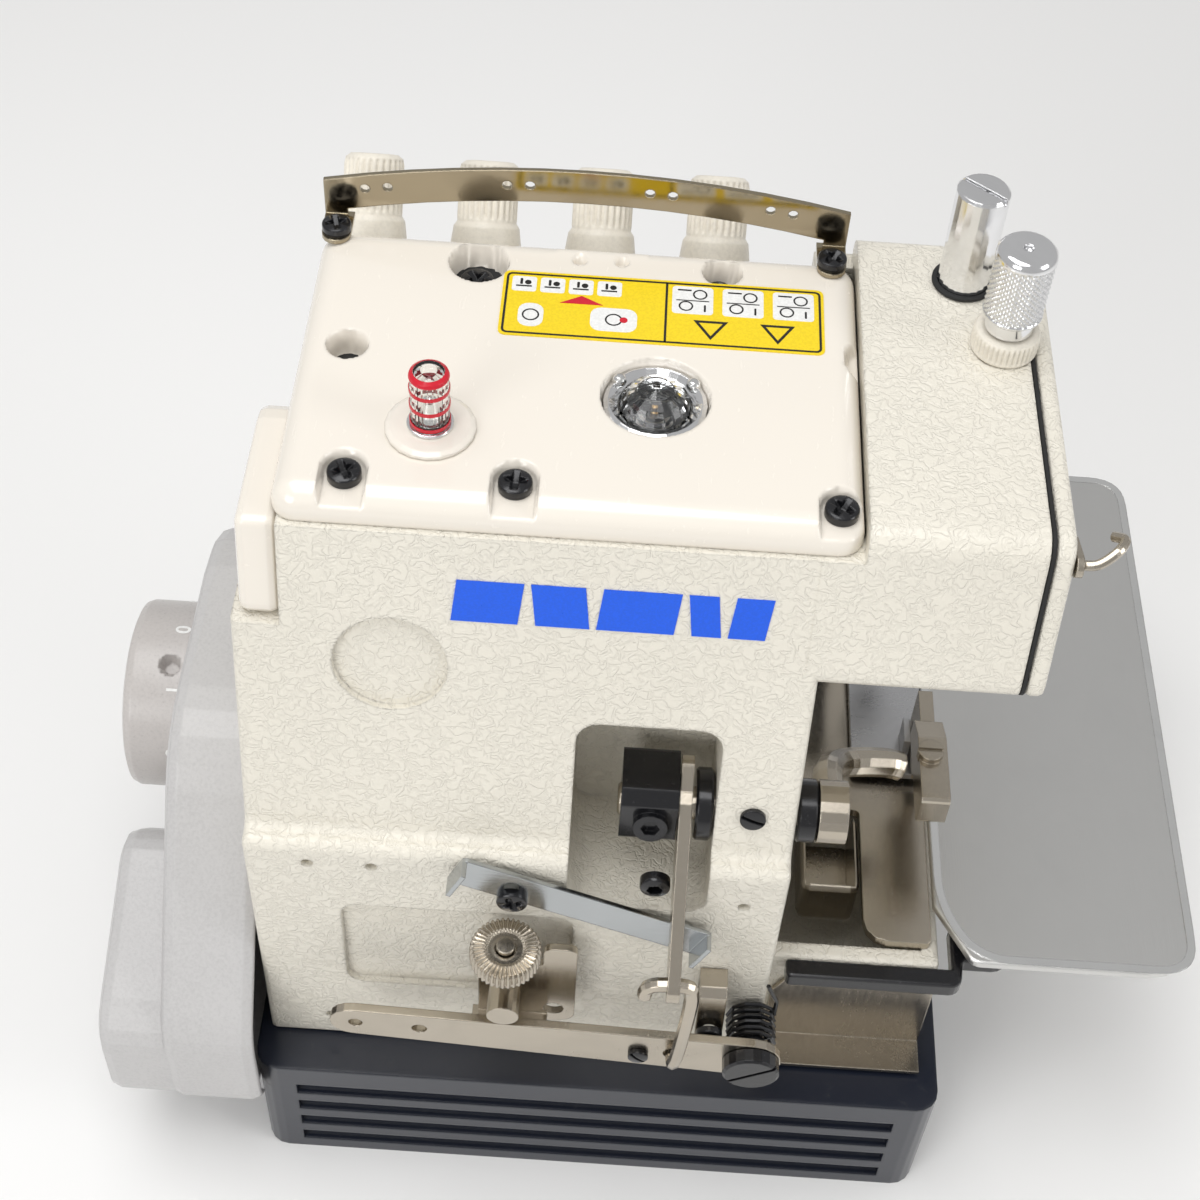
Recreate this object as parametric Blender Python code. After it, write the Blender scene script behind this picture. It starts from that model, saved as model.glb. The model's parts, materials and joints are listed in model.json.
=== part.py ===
"""Overlock (serger) sewing machine head, built as an assembly of separate pieces.

Machine frame used while building, in millimetres: +Z up with zero under the oil pan, +X towards the
handwheel, -X towards the needle and the cloth plate, +Y towards the back, with zero at the rear edge of
the top cover. At the end the whole machine is shifted so that the origin is the bottom centre of its
bounding box.
"""
import math

import bmesh
import bpy
from mathutils import Matrix, Vector

MM = 0.001
GAP = 0.3            # clearance kept between faces that touch
RUN = 0.4            # running clearance of a shaft in its bore
RIB_DEPTH = 0.9      # grooves between a knob's grips

# --- frame casting -----------------------------------------------------------------------------------
PAN_HEIGHT = 60.0
BODY_WIDTH = 170.0
BODY_HEIGHT = 230.0
COVER_RISE = 10.0
ARM_REACH = 58.0
ARM_HEIGHT = 55.0
WALL = 7.0
REAR_LEAN = math.radians(13.0)
REAR_TOP_Y = 2.0
LEDGE_HEIGHT = 119.5          # ledge above the pan
LEDGE_DEPTH = 7.5
SIDE_FRONT_Y = -52.0          # where the lid on the left side begins
COLUMN_FRONT_Y = -118.0
ARM_FRONT_Y = -129.0
BED_HEIGHT = 52.0
BED_REAR_Y = 23.0
SHELF_LEAN = math.radians(52.0)   # tension posts rise at this angle

RIGHT_X = -75.0                         # column wall under the arm
LEFT_X = RIGHT_X + BODY_WIDTH
SEAT_Z = PAN_HEIGHT + BODY_HEIGHT       # where the top cover sits
TOP_Z = SEAT_Z + COVER_RISE
ARM_X = RIGHT_X - ARM_REACH
ARM_Z = TOP_Z - ARM_HEIGHT
BED_Z = PAN_HEIGHT + BED_HEIGHT
LEDGE_Z = PAN_HEIGHT + LEDGE_HEIGHT
FLOOR = 8.0
BED_FLOOR_Z = PAN_HEIGHT + FLOOR


def rear_y(height):
    """Rear face of the leaning upper wall at a height."""
    return REAR_TOP_Y + (SEAT_Z - height) * math.tan(REAR_LEAN)


LOWER_Y = rear_y(LEDGE_Z) + LEDGE_DEPTH   # rear face of the upright lower wall

# --- top cover and what stands on it -----------------------------------------------------------------
COVER_DEPTH = 115.0
COVER_SHELL = 4.0
COVER_LEFT_X = LEFT_X - 12.4
COVER_RIGHT_X = RIGHT_X - 7.6
COVER_SCREWS = ((COVER_LEFT_X - 19.9, -12.6), (COVER_LEFT_X - 67.5, -12.7), (COVER_RIGHT_X + 6.8, -10.8))
GUIDE_SCREWS = ((COVER_LEFT_X - 4.9, -110.6), (COVER_RIGHT_X + 8.0, -109.8))
SCREW_HEAD = 4.8
GAUGE = (COVER_LEFT_X - 42.2, -29.6)
GAUGE_RADIUS = 5.6
GAUGE_RISE = 22.5
WINDOW = (COVER_RIGHT_X + 59.9, -48.3)
WINDOW_RADIUS = 15.5
GUIDE_RISE = 23.0

# --- tension posts -----------------------------------------------------------------------------------
TENSION_COUNT = 4
TENSION_PITCH = 37.2
TENSION_X = COVER_LEFT_X - 11.2
TENSION_Y = -125.0
TENSION_Z = TOP_Z - 38.0
KNOB_RADIUS = 9.7
KNOB_RIBS = 13

# --- needle bar, presser spring knob, face plate -----------------------------------------------------
NEEDLE_X = ARM_X + 18.0
NEEDLE_Y = -107.0
BAR_RADIUS = 3.6
CAP_RADIUS = 8.0
CAP_HEIGHT = 36.0
PRESSURE_X = ARM_X + 7.8
PRESSURE_Y = -79.0
PRESSURE_RADIUS = 9.0
PRESSURE_RISE = 38.5
GASKET = 1.2
FACE_PLATE = 5.5
RELEASE_Y = -10.0
RELEASE_Z = TOP_Z - 12.0

# --- presser and its lift ----------------------------------------------------------------------------
PRESSER_Z = LEDGE_Z + 7.0
PRESSER_Y = rear_y(PRESSER_Z) - 12.0
PRESSER_RADIUS = 5.2
POCKET_LEFT_X = -6.0
POCKET_RIGHT_X = -50.0
LIFT_X = -41.0                 # middle of the lift arm
LIFT_REACH_Y = 46.0
LIFT_DROP = 33.0
ROD_RADIUS = 2.4
PIVOT_X = -70.5
PIVOT_Z = PAN_HEIGHT + 38.0
LEVER_Y = LOWER_Y + 18.5       # middle of the lift lever's thickness
LEVER_THICK = 3.0
LEVER_REACH = 132.0
LEVER_RISE = 9.0
LEVER_END = (PIVOT_X + LEVER_REACH, PIVOT_Z + LEVER_RISE)
ROD_FOOT_X = LIFT_X - 3.5
SHANK_X = ARM_X + 9.5
SHANK_Y = PRESSER_Y - 47.0
SHANK_Z = BED_Z + 36.0
FOOT_TOP = BED_Z + 9.5
FOOT_PIN_Y = SHANK_Y - 28.0
FOOT_PIN_Z = FOOT_TOP + 6.0
DIFF_X = -4.0                  # pivot of the differential feed's lever
DIFF_Z = PIVOT_Z + 6.0

# --- shafts, motor and handwheel ---------------------------------------------------------------------
SHAFT_Y = -72.0
SHAFT_Z = PAN_HEIGHT + 50.0
SHAFT_RADIUS = 7.0
MOTOR_WIDTH = 33.0
COVER_WALL = 2.5
BULGE = 22.0
WHEEL_RADIUS = 34.0
WHEEL_WIDTH = 24.0
ROCKER_Y = -76.0
ROCKER_Z = ARM_Z + 23.0
ROD_X = 6.0                    # middle of the connecting rod
ROD_TOP_Y = ROCKER_Y + 26.0
CRANK_THROW = 10.0
CRANK_Y = SHAFT_Y + CRANK_THROW

# --- knives and looper cover -------------------------------------------------------------------------
KNIFE_Y = -84.0
KNIFE_Z = BED_Z + 34.0
FRONT_COVER_LEFT = 14.0
COVER_HINGE_Y = COLUMN_FRONT_Y - 12.0
COVER_HINGE_Z = PAN_HEIGHT + 5.0

# --- cloth plate -------------------------------------------------------------------------------------
PLATE_TOP = BED_Z + 8.0
PLATE_THICK = 3.5
PLATE_WIDTH = 88.5
PLATE_FRONT_Y = -204.0
PLATE_REAR_Y = 25.0
CLOTH_X = ARM_X + 2.5          # edge of the cloth plate beside the bed
HINGE_X = CLOTH_X - 19.0
HINGE_Y = 12.0

# ------------------------------------------------------------------------------------------- materials


def material(name, colour, roughness, metallic=0.0, clear=False):
    made = bpy.data.materials.new(name)
    made.use_nodes = True
    shader = made.node_tree.nodes["Principled BSDF"]
    shader.inputs["Base Color"].default_value = (*colour, 1.0)
    shader.inputs["Roughness"].default_value = roughness
    shader.inputs["Metallic"].default_value = metallic
    if clear:
        shader.inputs["Transmission Weight"].default_value = 1.0
    made.diffuse_color = (*colour, 1.0)
    return made


def make_materials():
    return {
        "cast_paint": material("cast_paint", (0.78, 0.74, 0.64), 0.55),
        "gloss_paint": material("gloss_paint", (0.84, 0.79, 0.70), 0.22),
        "cream_plastic": material("cream_plastic", (0.82, 0.78, 0.69), 0.4),
        "grey_plastic": material("grey_plastic", (0.62, 0.62, 0.62), 0.42),
        "wheel_plastic": material("wheel_plastic", (0.50, 0.48, 0.48), 0.4),
        "pan_paint": material("pan_paint", (0.03, 0.035, 0.05), 0.5),
        "chrome": material("chrome", (0.80, 0.80, 0.81), 0.1, 1.0),
        "nickel": material("nickel", (0.62, 0.57, 0.49), 0.28, 1.0),
        "stainless": material("stainless", (0.62, 0.61, 0.60), 0.35, 1.0),
        "zinc": material("zinc", (0.45, 0.46, 0.46), 0.35, 1.0),
        "steel": material("steel", (0.5, 0.5, 0.51), 0.3, 1.0),
        "black_oxide": material("black_oxide", (0.012, 0.012, 0.014), 0.3, 0.6),
        "black_rubber": material("black_rubber", (0.015, 0.015, 0.015), 0.7),
        "clear_plastic": material("clear_plastic", (0.95, 0.95, 0.95), 0.05, 0.0, True),
        "bronze": material("bronze", (0.55, 0.36, 0.16), 0.4, 1.0),
        "motor_iron": material("motor_iron", (0.25, 0.24, 0.23), 0.5, 0.8),
    }


# --------------------------------------------------------------------------------------- shape helpers


def point(x, y, z):
    return Vector((x, y, z)) * MM


def finish_mesh(name, shape, finish, origin):
    bmesh.ops.recalc_face_normals(shape, faces=shape.faces)
    mesh = bpy.data.meshes.new(name)
    shape.to_mesh(mesh)
    shape.free()
    if finish:
        mesh.materials.append(finish)
    mesh.shade_smooth()
    mesh.set_sharp_from_angle(angle=math.radians(35))
    made = bpy.data.objects.new(name, mesh)
    made.location = point(*origin)
    bpy.context.scene.collection.objects.link(made)
    return made


AXES = {"X": (1, 2, 0), "Y": (0, 2, 1), "Z": (0, 1, 2)}


def prism(name, outline, axis, low, high, finish=None, origin=(0, 0, 0)):
    """A flat outline in the two other axes, drawn out along one axis."""
    first, second, along = AXES[axis]
    shape = bmesh.new()
    rings = []
    for level in (low, high):
        ring = []
        for a, b in outline:
            place = [0.0, 0.0, 0.0]
            place[first] = a
            place[second] = b
            place[along] = level
            ring.append(shape.verts.new(point(*place) - point(*origin)))
        rings.append(ring)
    shape.faces.new(rings[0])
    shape.faces.new(rings[1])
    count = len(outline)
    for step in range(count):
        after = (step + 1) % count
        shape.faces.new((rings[0][step], rings[0][after], rings[1][after], rings[1][step]))
    return finish_mesh(name, shape, finish, origin)


def box(name, low, high, finish=None, origin=(0, 0, 0)):
    outline = ((low[0], low[1]), (high[0], low[1]), (high[0], high[1]), (low[0], high[1]))
    return prism(name, outline, "Z", low[2], high[2], finish, origin)


def rounded(corners, radii, steps=4):
    """The outline with each corner turned into an arc of its own radius (one number serves all)."""
    if not isinstance(radii, (tuple, list)):
        radii = [radii] * len(corners)
    outline = []
    count = len(corners)
    for index, corner in enumerate(corners):
        radius = radii[index]
        here = Vector(corner)
        if radius <= 0:
            outline.append(tuple(here))
            continue
        before = (Vector(corners[index - 1]) - here).normalized()
        after = (Vector(corners[(index + 1) % count]) - here).normalized()
        half = before.angle(after) / 2
        centre = here + (before + after).normalized() * (radius / math.sin(half))
        start = here + before * (radius / math.tan(half)) - centre
        end = here + after * (radius / math.tan(half)) - centre
        turn = start.angle_signed(end)
        for step in range(steps + 1):
            spoke = start.copy()
            spoke.rotate(Matrix.Rotation(-turn * step / steps, 2))
            outline.append(tuple(centre + spoke))
    return outline


def rectangle(left, low, right, high, radius=0.0, steps=4):
    return rounded(((left, low), (right, low), (right, high), (left, high)), radius, steps)


def circle(centre, radius, sides=20):
    return [(centre[0] + radius * math.cos(2 * math.pi * k / sides),
             centre[1] + radius * math.sin(2 * math.pi * k / sides)) for k in range(sides)]


def link_outline(start, end, start_radius, end_radius, steps=8):
    """Two round ends joined by straight tangents, as a lever is cut."""
    a = Vector(start)
    b = Vector(end)
    along = (b - a).normalized()
    across = Vector((-along[1], along[0]))
    spread = math.asin((start_radius - end_radius) / (b - a).length)
    outline = []
    for centre, radius, first in ((a, start_radius, math.pi / 2 - spread),
                                  (b, end_radius, -math.pi / 2 + spread)):
        sweep = math.pi + 2 * spread if centre is a else math.pi - 2 * spread
        for step in range(steps + 1):
            angle = first + sweep * step / steps
            outline.append(tuple(centre + along * radius * math.cos(angle) + across * radius * math.sin(angle)))
    return outline


def turned(name, profile, at, finish=None, axis=(0, 0, 1), sides=20, closed=False, ribs=()):
    """A profile of (radius, height) turned about an axis; ribs names the profile points that are ribbed."""
    spin = Vector((0, 0, 1)).rotation_difference(Vector(axis)).to_matrix()
    shape = bmesh.new()
    rings = []
    for index, (radius, height) in enumerate(profile):
        ring = []
        for step in range(sides):
            angle = 2 * math.pi * step / sides
            reach = radius - (RIB_DEPTH if index in ribs and step % 2 else 0.0)
            ring.append(shape.verts.new(spin @ point(reach * math.cos(angle), reach * math.sin(angle),
                                                     height)))
        rings.append(ring)
    pairs = list(zip(rings, rings[1:]))
    if closed:
        pairs.append((rings[-1], rings[0]))
    else:
        shape.faces.new(rings[0])
        shape.faces.new(rings[-1])
    for lower, upper in pairs:
        for step in range(sides):
            after = (step + 1) % sides
            shape.faces.new((lower[step], lower[after], upper[after], upper[step]))
    return finish_mesh(name, shape, finish, at)


def smooth_path(points, steps=6):
    """A Catmull-Rom curve through the points."""
    path = []
    ends = [points[0]] + list(points) + [points[-1]]
    for index in range(1, len(ends) - 2):
        a, b, c, d = (Vector(ends[index + shift]) for shift in (-1, 0, 1, 2))
        for step in range(steps):
            t = step / steps
            path.append(0.5 * (2 * b + (c - a) * t + (2 * a - 5 * b + 4 * c - d) * t ** 2
                               + (3 * b - a - 3 * c + d) * t ** 3))
    path.append(Vector(points[-1]))
    return path


def tube(name, path, radius, finish=None, origin=(0, 0, 0), sides=10):
    """A round bar along a path of points."""
    shape = bmesh.new()
    heading = (path[1] - path[0]).normalized()
    side = heading.orthogonal().normalized()
    rings = []
    for index, place in enumerate(path):
        ahead = path[min(index + 1, len(path) - 1)] - path[max(index - 1, 0)]
        turn = heading.rotation_difference(ahead.normalized())
        side = turn @ side
        heading = ahead.normalized()
        other = heading.cross(side)
        ring = []
        for step in range(sides):
            angle = 2 * math.pi * step / sides
            spoke = side * math.cos(angle) + other * math.sin(angle)
            ring.append(shape.verts.new((place + spoke * radius) * MM - point(*origin)))
        rings.append(ring)
    for lower, upper in zip(rings, rings[1:]):
        for step in range(sides):
            after = (step + 1) % sides
            shape.faces.new((lower[step], lower[after], upper[after], upper[step]))
    shape.faces.new(rings[0])
    shape.faces.new(rings[-1])
    return finish_mesh(name, shape, finish, origin)


def merge(piece, tool, operation):
    change = piece.modifiers.new(operation.lower(), "BOOLEAN")
    change.operation = operation
    change.solver = "EXACT"
    change.object = tool
    tool.hide_render = True
    tool.display_type = "WIRE"


def cut(piece, *tools):
    for tool in tools:
        merge(piece, tool, "DIFFERENCE")


def weld(piece, *tools):
    for tool in tools:
        merge(piece, tool, "UNION")


def soften(piece, width, segments=2, angle=40.0):
    edge = piece.modifiers.new("soft_edges", "BEVEL")
    edge.width = width * MM
    edge.segments = segments
    edge.limit_method = "ANGLE"
    edge.angle_limit = math.radians(angle)
    return piece


def bore(name, at, axis, radius, low, high, sides=14):
    """A round cutter along an axis, from low to high measured from the point."""
    return turned(name, ((radius, low), (radius, high)), at, None, axis, sides)


# -------------------------------------------------------------------------------------- frame casting


def casting_cavities(frame):
    """The crank chamber, the arm's hollow and the open bed."""
    inner_top = rear_y(SEAT_Z) - WALL
    chamber = prism("cut_chamber", (
        (LOWER_Y - WALL, PAN_HEIGHT - 5), (LOWER_Y - WALL, LEDGE_Z - WALL),
        (rear_y(LEDGE_Z) - WALL, LEDGE_Z - WALL), (inner_top, SEAT_Z), (inner_top, TOP_Z + 5),
        (-105.0, TOP_Z + 5), (-105.0, PAN_HEIGHT - 5)), "X", RIGHT_X + WALL, LEFT_X - 20.0)
    lower_chamber = box("cut_lower_chamber", (LEFT_X - 24.0, -105.2, PAN_HEIGHT - 5),
                        (LEFT_X - WALL, LOWER_Y - WALL - 1, LEDGE_Z))
    arm_hollow = box("cut_arm_hollow", (ARM_X - 5, ARM_FRONT_Y + WALL, ARM_Z + WALL),
                     (COVER_RIGHT_X + 3.0, -8.0, TOP_Z - FLOOR))
    tunnel = box("cut_tunnel", (COVER_RIGHT_X, -100.0, ARM_Z + WALL + 1),
                 (RIGHT_X + WALL + 4, -12.0, SEAT_Z - 4))
    bed_hollow = box("cut_bed", (ARM_X + 6, COLUMN_FRONT_Y - 12, BED_FLOOR_Z),
                     (RIGHT_X - 1, BED_REAR_Y - 6, BED_Z + 20))
    rear_window = box("cut_rear_window", (ARM_X + 8, BED_REAR_Y - 12, BED_FLOOR_Z + 8),
                      (RIGHT_X - 6, BED_REAR_Y + 10,
                                                                                     BED_Z - 16))
    cut(frame, chamber, lower_chamber, arm_hollow, tunnel, bed_hollow, rear_window)


def lift_pocket(frame):
    """The recess in the rear wall where the presser shaft comes out, with solid metal around it."""
    top = PRESSER_Z + 41.0
    low = PRESSER_Z - 30.0
    around = prism("add_pocket_metal", (
        (PRESSER_Y - 28, low - 7), (LOWER_Y - 2, low - 7), (LOWER_Y - 2, LEDGE_Z - 2),
        (rear_y(LEDGE_Z) - 2, LEDGE_Z - 2),
        (rear_y(top + 8) - 2, top + 8), (PRESSER_Y - 28, top + 8)), "X", RIGHT_X + 3, POCKET_LEFT_X + 7)
    weld(frame, around)
    hollow = prism("cut_pocket", rectangle(POCKET_RIGHT_X, low, POCKET_LEFT_X, top, 7.0), "Y",
                   PRESSER_Y - 21, LOWER_Y + 30)
    cut(frame, hollow)


def arm_outline():
    """Section of the arm; its rear stands a hair proud of the column, so the two never share a plane."""
    proud = 0.15
    corners = ((rear_y(ARM_Z) + proud, ARM_Z), (rear_y(TOP_Z) + proud, TOP_Z), (ARM_FRONT_Y, TOP_Z),
               (ARM_FRONT_Y, ARM_Z))
    return rounded(corners, (5, 8, 8, 5))


def frame_casting(finish):
    front_top = (-112.0, SEAT_Z + 2)
    shelf_drop = math.cos(SHELF_LEAN)
    shelf_out = math.sin(SHELF_LEAN)
    shelf_back = (-112.0, TENSION_Z + (-112.0 - TENSION_Y) * shelf_drop / shelf_out)
    shelf_front = (TENSION_Y - 13.0, TENSION_Z - 13.0 * shelf_drop / shelf_out)
    corners = ((LOWER_Y, PAN_HEIGHT + GAP), (LOWER_Y, LEDGE_Z), (rear_y(LEDGE_Z), LEDGE_Z),
               (rear_y(SEAT_Z + 2), SEAT_Z + 2), front_top, shelf_back, shelf_front,
               (shelf_front[0], shelf_front[1] - 14), (COLUMN_FRONT_Y, shelf_front[1] - 34),
               (COLUMN_FRONT_Y, PAN_HEIGHT + GAP))
    outline = rounded(corners, (0, 3.5, 3.5, 0, 0, 4, 4, 4, 8, 0))
    frame = prism("frame_casting", outline, "X", RIGHT_X, LEFT_X, finish)
    soften(frame, 2.0, 2, 60.0)
    arm = prism("add_arm", arm_outline(), "X", ARM_X, RIGHT_X + 4)
    bed = box("add_bed", (ARM_X, COLUMN_FRONT_Y + 2, PAN_HEIGHT + 1.2), (RIGHT_X + 5, BED_REAR_Y, BED_Z))
    soften(bed, 2.0, 2, 60.0)
    weld(frame, arm, bed)
    seat = box("cut_seat", (COVER_RIGHT_X - 0.6, ARM_FRONT_Y - 20, SEAT_Z), (LEFT_X + 20, 30, TOP_Z + 10))
    cut(frame, seat)
    casting_cavities(frame)
    lift_pocket(frame)
    side_seat = box("cut_side_seat", (COVER_LEFT_X - 2.0, SIDE_FRONT_Y, SEAT_Z - 34.0),
                    (LEFT_X + 10, 30, SEAT_Z + 5))
    corner = box("cut_front_corner", (COVER_LEFT_X + 0.4, ARM_FRONT_Y - 30, SEAT_Z - 60.0),
                 (LEFT_X + 10, SIDE_FRONT_Y + 1, SEAT_Z + 5))
    cut(frame, side_seat, corner)
    recess_z = SEAT_Z - 45.5
    lean_axis = (0, math.cos(REAR_LEAN), math.sin(REAR_LEAN))
    cut(frame, bore("cut_round_recess", (COVER_LEFT_X - 33.5, rear_y(recess_z), recess_z), lean_axis, 17.0,
                    -2.5, 10, 24))
    panel = prism("cut_lower_panel", rectangle(-9, LEDGE_Z - 81, LEFT_X - 29, LEDGE_Z - 32, 6.0), "Y",
                  LOWER_Y - 2.5, LOWER_Y + 10)
    cut(frame, panel)
    for hole, (x, z) in enumerate(((LEFT_X - 20, LEDGE_Z - 9), (LEFT_X - 40, LEDGE_Z - 9),
                                   (-62.0, LEDGE_Z - 18),
                                   (LEFT_X - 22, PAN_HEIGHT + 14))):
        cut(frame, bore(f"cut_blind_{hole}", (x, LOWER_Y, z), (0, 1, 0), 2.0, -4, 4, 12))
    cut(frame,
        bore("cut_presser_bore", (0, PRESSER_Y, PRESSER_Z), (-1, 0, 0), PRESSER_RADIUS + RUN, 40, 90),
        bore("cut_shaft_bore", (LEFT_X, SHAFT_Y, SHAFT_Z), (1, 0, 0), SHAFT_RADIUS + 4 + GAP, -20, 20),
        bore("cut_needle_bore", (NEEDLE_X, NEEDLE_Y, ARM_Z), (0, 0, 1), BAR_RADIUS + RUN, -10, 60),
        bore("cut_cap_bore", (NEEDLE_X, NEEDLE_Y, TOP_Z), (0, 0, 1), BAR_RADIUS + RUN, -20, 10),
        bore("cut_pressure_bore", (PRESSURE_X, PRESSURE_Y, TOP_Z), (0, 0, 1), 4.0 + RUN, -20, 10),
        bore("cut_rocker_end", (LEFT_X, ROCKER_Y, ROCKER_Z), (-1, 0, 0), 5.0 + RUN, 10, 24),
        bore("cut_knife_bore", (RIGHT_X, KNIFE_Y, KNIFE_Z), (1, 0, 0), 4.0 + RUN, -5, 12))
    return frame


def oil_pan(finish):
    """Ribbed tray under the casting: it holds the oil and is what the machine rests on."""
    left = LEFT_X + 4
    right = ARM_X - 7
    front = COLUMN_FRONT_Y - 7
    rear = LOWER_Y + 15
    pan = prism("oil_pan", rectangle(right, front, left, rear, 8.0), "Z", 0.0, PAN_HEIGHT, finish)
    hollow = prism("cut_pan", rectangle(right + 10, front + 10, left - 10, LOWER_Y - 3, 5.0), "Z", 5.0,
                   PAN_HEIGHT + 5)
    cut(pan, hollow)
    rib_pitch = (PAN_HEIGHT - 12) / 4
    for rib in range(4):
        low = 6 + rib * rib_pitch
        groove = box(f"cut_rib_{rib}", (right + 14, rear - 2.5, low),
                     (left - 14, rear + 5, low + rib_pitch * 0.55))
        cut(pan, groove)
    return pan


# ------------------------------------------------------------------------------------------ top cover


def top_cover(finish):
    outline = rectangle(COVER_RIGHT_X, -COVER_DEPTH, COVER_LEFT_X, 0.0, 5.0)
    cover = prism("top_cover", outline, "Z", SEAT_Z + GAP, TOP_Z, finish)
    soften(cover, 2.2, 2, 50.0)
    shell = COVER_SHELL
    hollow = prism("cut_cover", rectangle(COVER_RIGHT_X + shell, shell - COVER_DEPTH, COVER_LEFT_X - shell,
                                          -shell, 3.0),
                   "Z", SEAT_Z - 3, TOP_Z - shell)
    cut(cover, hollow)
    for index, (x, y) in enumerate(COVER_SCREWS):
        boss = bore(f"add_screw_boss_{index}", (x, y, SEAT_Z), (0, 0, 1), 6.4, GAP, COVER_RISE - 1.0)
        weld(cover, boss)
    for index, (x, y) in enumerate(COVER_SCREWS):
        cut(cover, bore(f"cut_screw_seat_{index}", (x, y, TOP_Z), (0, 0, 1), SCREW_HEAD + 0.8, -3.5, 5),
            bore(f"cut_screw_hole_{index}", (x, y, TOP_Z), (0, 0, 1), 2.4 + GAP, -20, 5, 12))
    for index, (x, y) in enumerate(GUIDE_SCREWS):
        cut(cover, bore(f"cut_guide_hole_{index}", (x, y, TOP_Z), (0, 0, 1), 2.4 + GAP, -20, 5, 12))
    for label, x, y, radius in (("side", COVER_LEFT_X - 14.4, -61.9, 5.5),
                                ("front", COVER_LEFT_X - 49.5, -102.0, 8.5),
                                ("arm", COVER_RIGHT_X + 41.3, -104.5, 5.5)):
        cut(cover, bore(f"cut_{label}_hole", (x, y, TOP_Z), (0, 0, 1), radius, -9, 5))
    cut(cover, bore("cut_gauge_hole", (*GAUGE, TOP_Z), (0, 0, 1), GAUGE_RADIUS + 4.0, -9, 5),
        bore("cut_window_hole", (*WINDOW, TOP_Z), (0, 0, 1), WINDOW_RADIUS, -9, 5, 24))
    for index, shift in enumerate((-6.5, 6.5)):
        cut(cover, bore(f"cut_pad_hole_{index}", (5.5 + shift, -103.0, TOP_Z), (0, 0, 1), 1.8, -2.5, 5, 12))
    return cover


def thread_guide(finish):
    """Arched plate standing on two feet, with pairs of thread eyes."""
    left = GUIDE_SCREWS[0][0] + 4.5
    right = GUIDE_SCREWS[1][0] - 4.5
    middle = (left + right) / 2
    half = (left - right) / 2
    low = TOP_Z + GAP
    outline = []
    for step in range(13):
        share = step / 6 - 1
        outline.append((middle + half * share, low + GUIDE_RISE - 9.0 * share ** 2))
    outline.append((left, low))
    for step in range(13):
        share = 1 - step / 6
        outline.append((middle + (half - 7.0) * share, low + GUIDE_RISE - 11.5 - 8.0 * share ** 2))
    outline.append((right, low))
    outline.insert(14, (left - 7.0, low))
    outline.insert(28, (right + 7.0, low))
    plate_y = GUIDE_SCREWS[0][1] - 7.5
    guide = prism("thread_guide", outline, "Y", plate_y - 1.5, plate_y, finish)
    for index, (x, y) in enumerate(GUIDE_SCREWS):
        foot = prism(f"add_guide_foot_{index}", rounded(((x - 4.5, plate_y - 1.2), (x + 4.5, plate_y - 1.2),
                     (x + 4.5, y + 5.5), (x - 4.5, y + 5.5)), (0, 0, 4.4, 4.4)), "Z", low, low + 1.5)
        weld(guide, foot)
    for index, (x, y) in enumerate(GUIDE_SCREWS):
        cut(guide, bore(f"cut_foot_hole_{index}", (x, y, low), (0, 0, 1), 2.4 + GAP, -5, 5, 12))
    for pair, share in enumerate((0.80, 0.26, -0.28, -0.74)):
        for side, shift in enumerate((-3.5, 3.5)):
            x = middle + half * share + shift
            z = low + GUIDE_RISE - 5.6 - 8.0 * ((x - middle) / half) ** 2
            cut(guide, bore(f"cut_eye_{pair}_{side}", (x, plate_y, z), (0, 1, 0), 1.6, -5, 5, 10))
    return guide


def oil_gauge(collar_finish, clear):
    radius = GAUGE_RADIUS
    turned("oil_gauge_collar", ((radius + GAP, -8), (radius + 4 - GAP, -8), (radius + 4 - GAP, GAP),
                                (13.0, GAP),
                                (13.0, 1.2), (11.6, 2.0), (radius + GAP, 2.0)), (*GAUGE, TOP_Z),
                                collar_finish, closed=True)
    turned("oil_gauge_tube", ((radius, -8), (radius, GAUGE_RISE - 2), (radius - 1.2, GAUGE_RISE - 0.4),
                              (radius - 3.2, GAUGE_RISE), (radius - 3.6, GAUGE_RISE - 1.6),
                              (radius - 1.6, GAUGE_RISE - 3.2),
                              (radius - 1.6, -8)), (*GAUGE, TOP_Z), clear, closed=True)


def oil_window(ring_finish, clear):
    outer = WINDOW_RADIUS - GAP
    dome = 10.6
    turned("oil_window_ring", ((dome + GAP, -8.5), (outer, -8.5), (outer, -2.5), (outer - 1.5, -1.6),
                               (dome + GAP + 1.0, -3.0), (dome + GAP, -3.6)), (*WINDOW, TOP_Z), ring_finish,
                               closed=True, sides=24)
    shell = [(dome * math.cos(angle), -4.0 + 8.0 * math.sin(angle))
             for angle in (math.radians(step * 84 / 4) for step in range(5))]
    inner = [((dome - 1.6) * math.cos(angle), -4.0 + 6.4 * math.sin(angle))
             for angle in (math.radians(step * 84 / 3) for step in range(4))]
    profile = [(dome, -8.5)] + shell + inner[::-1] + [(dome - 1.6, -8.5)]
    turned("oil_window_dome", profile, (*WINDOW, TOP_Z), clear, closed=True)


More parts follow.
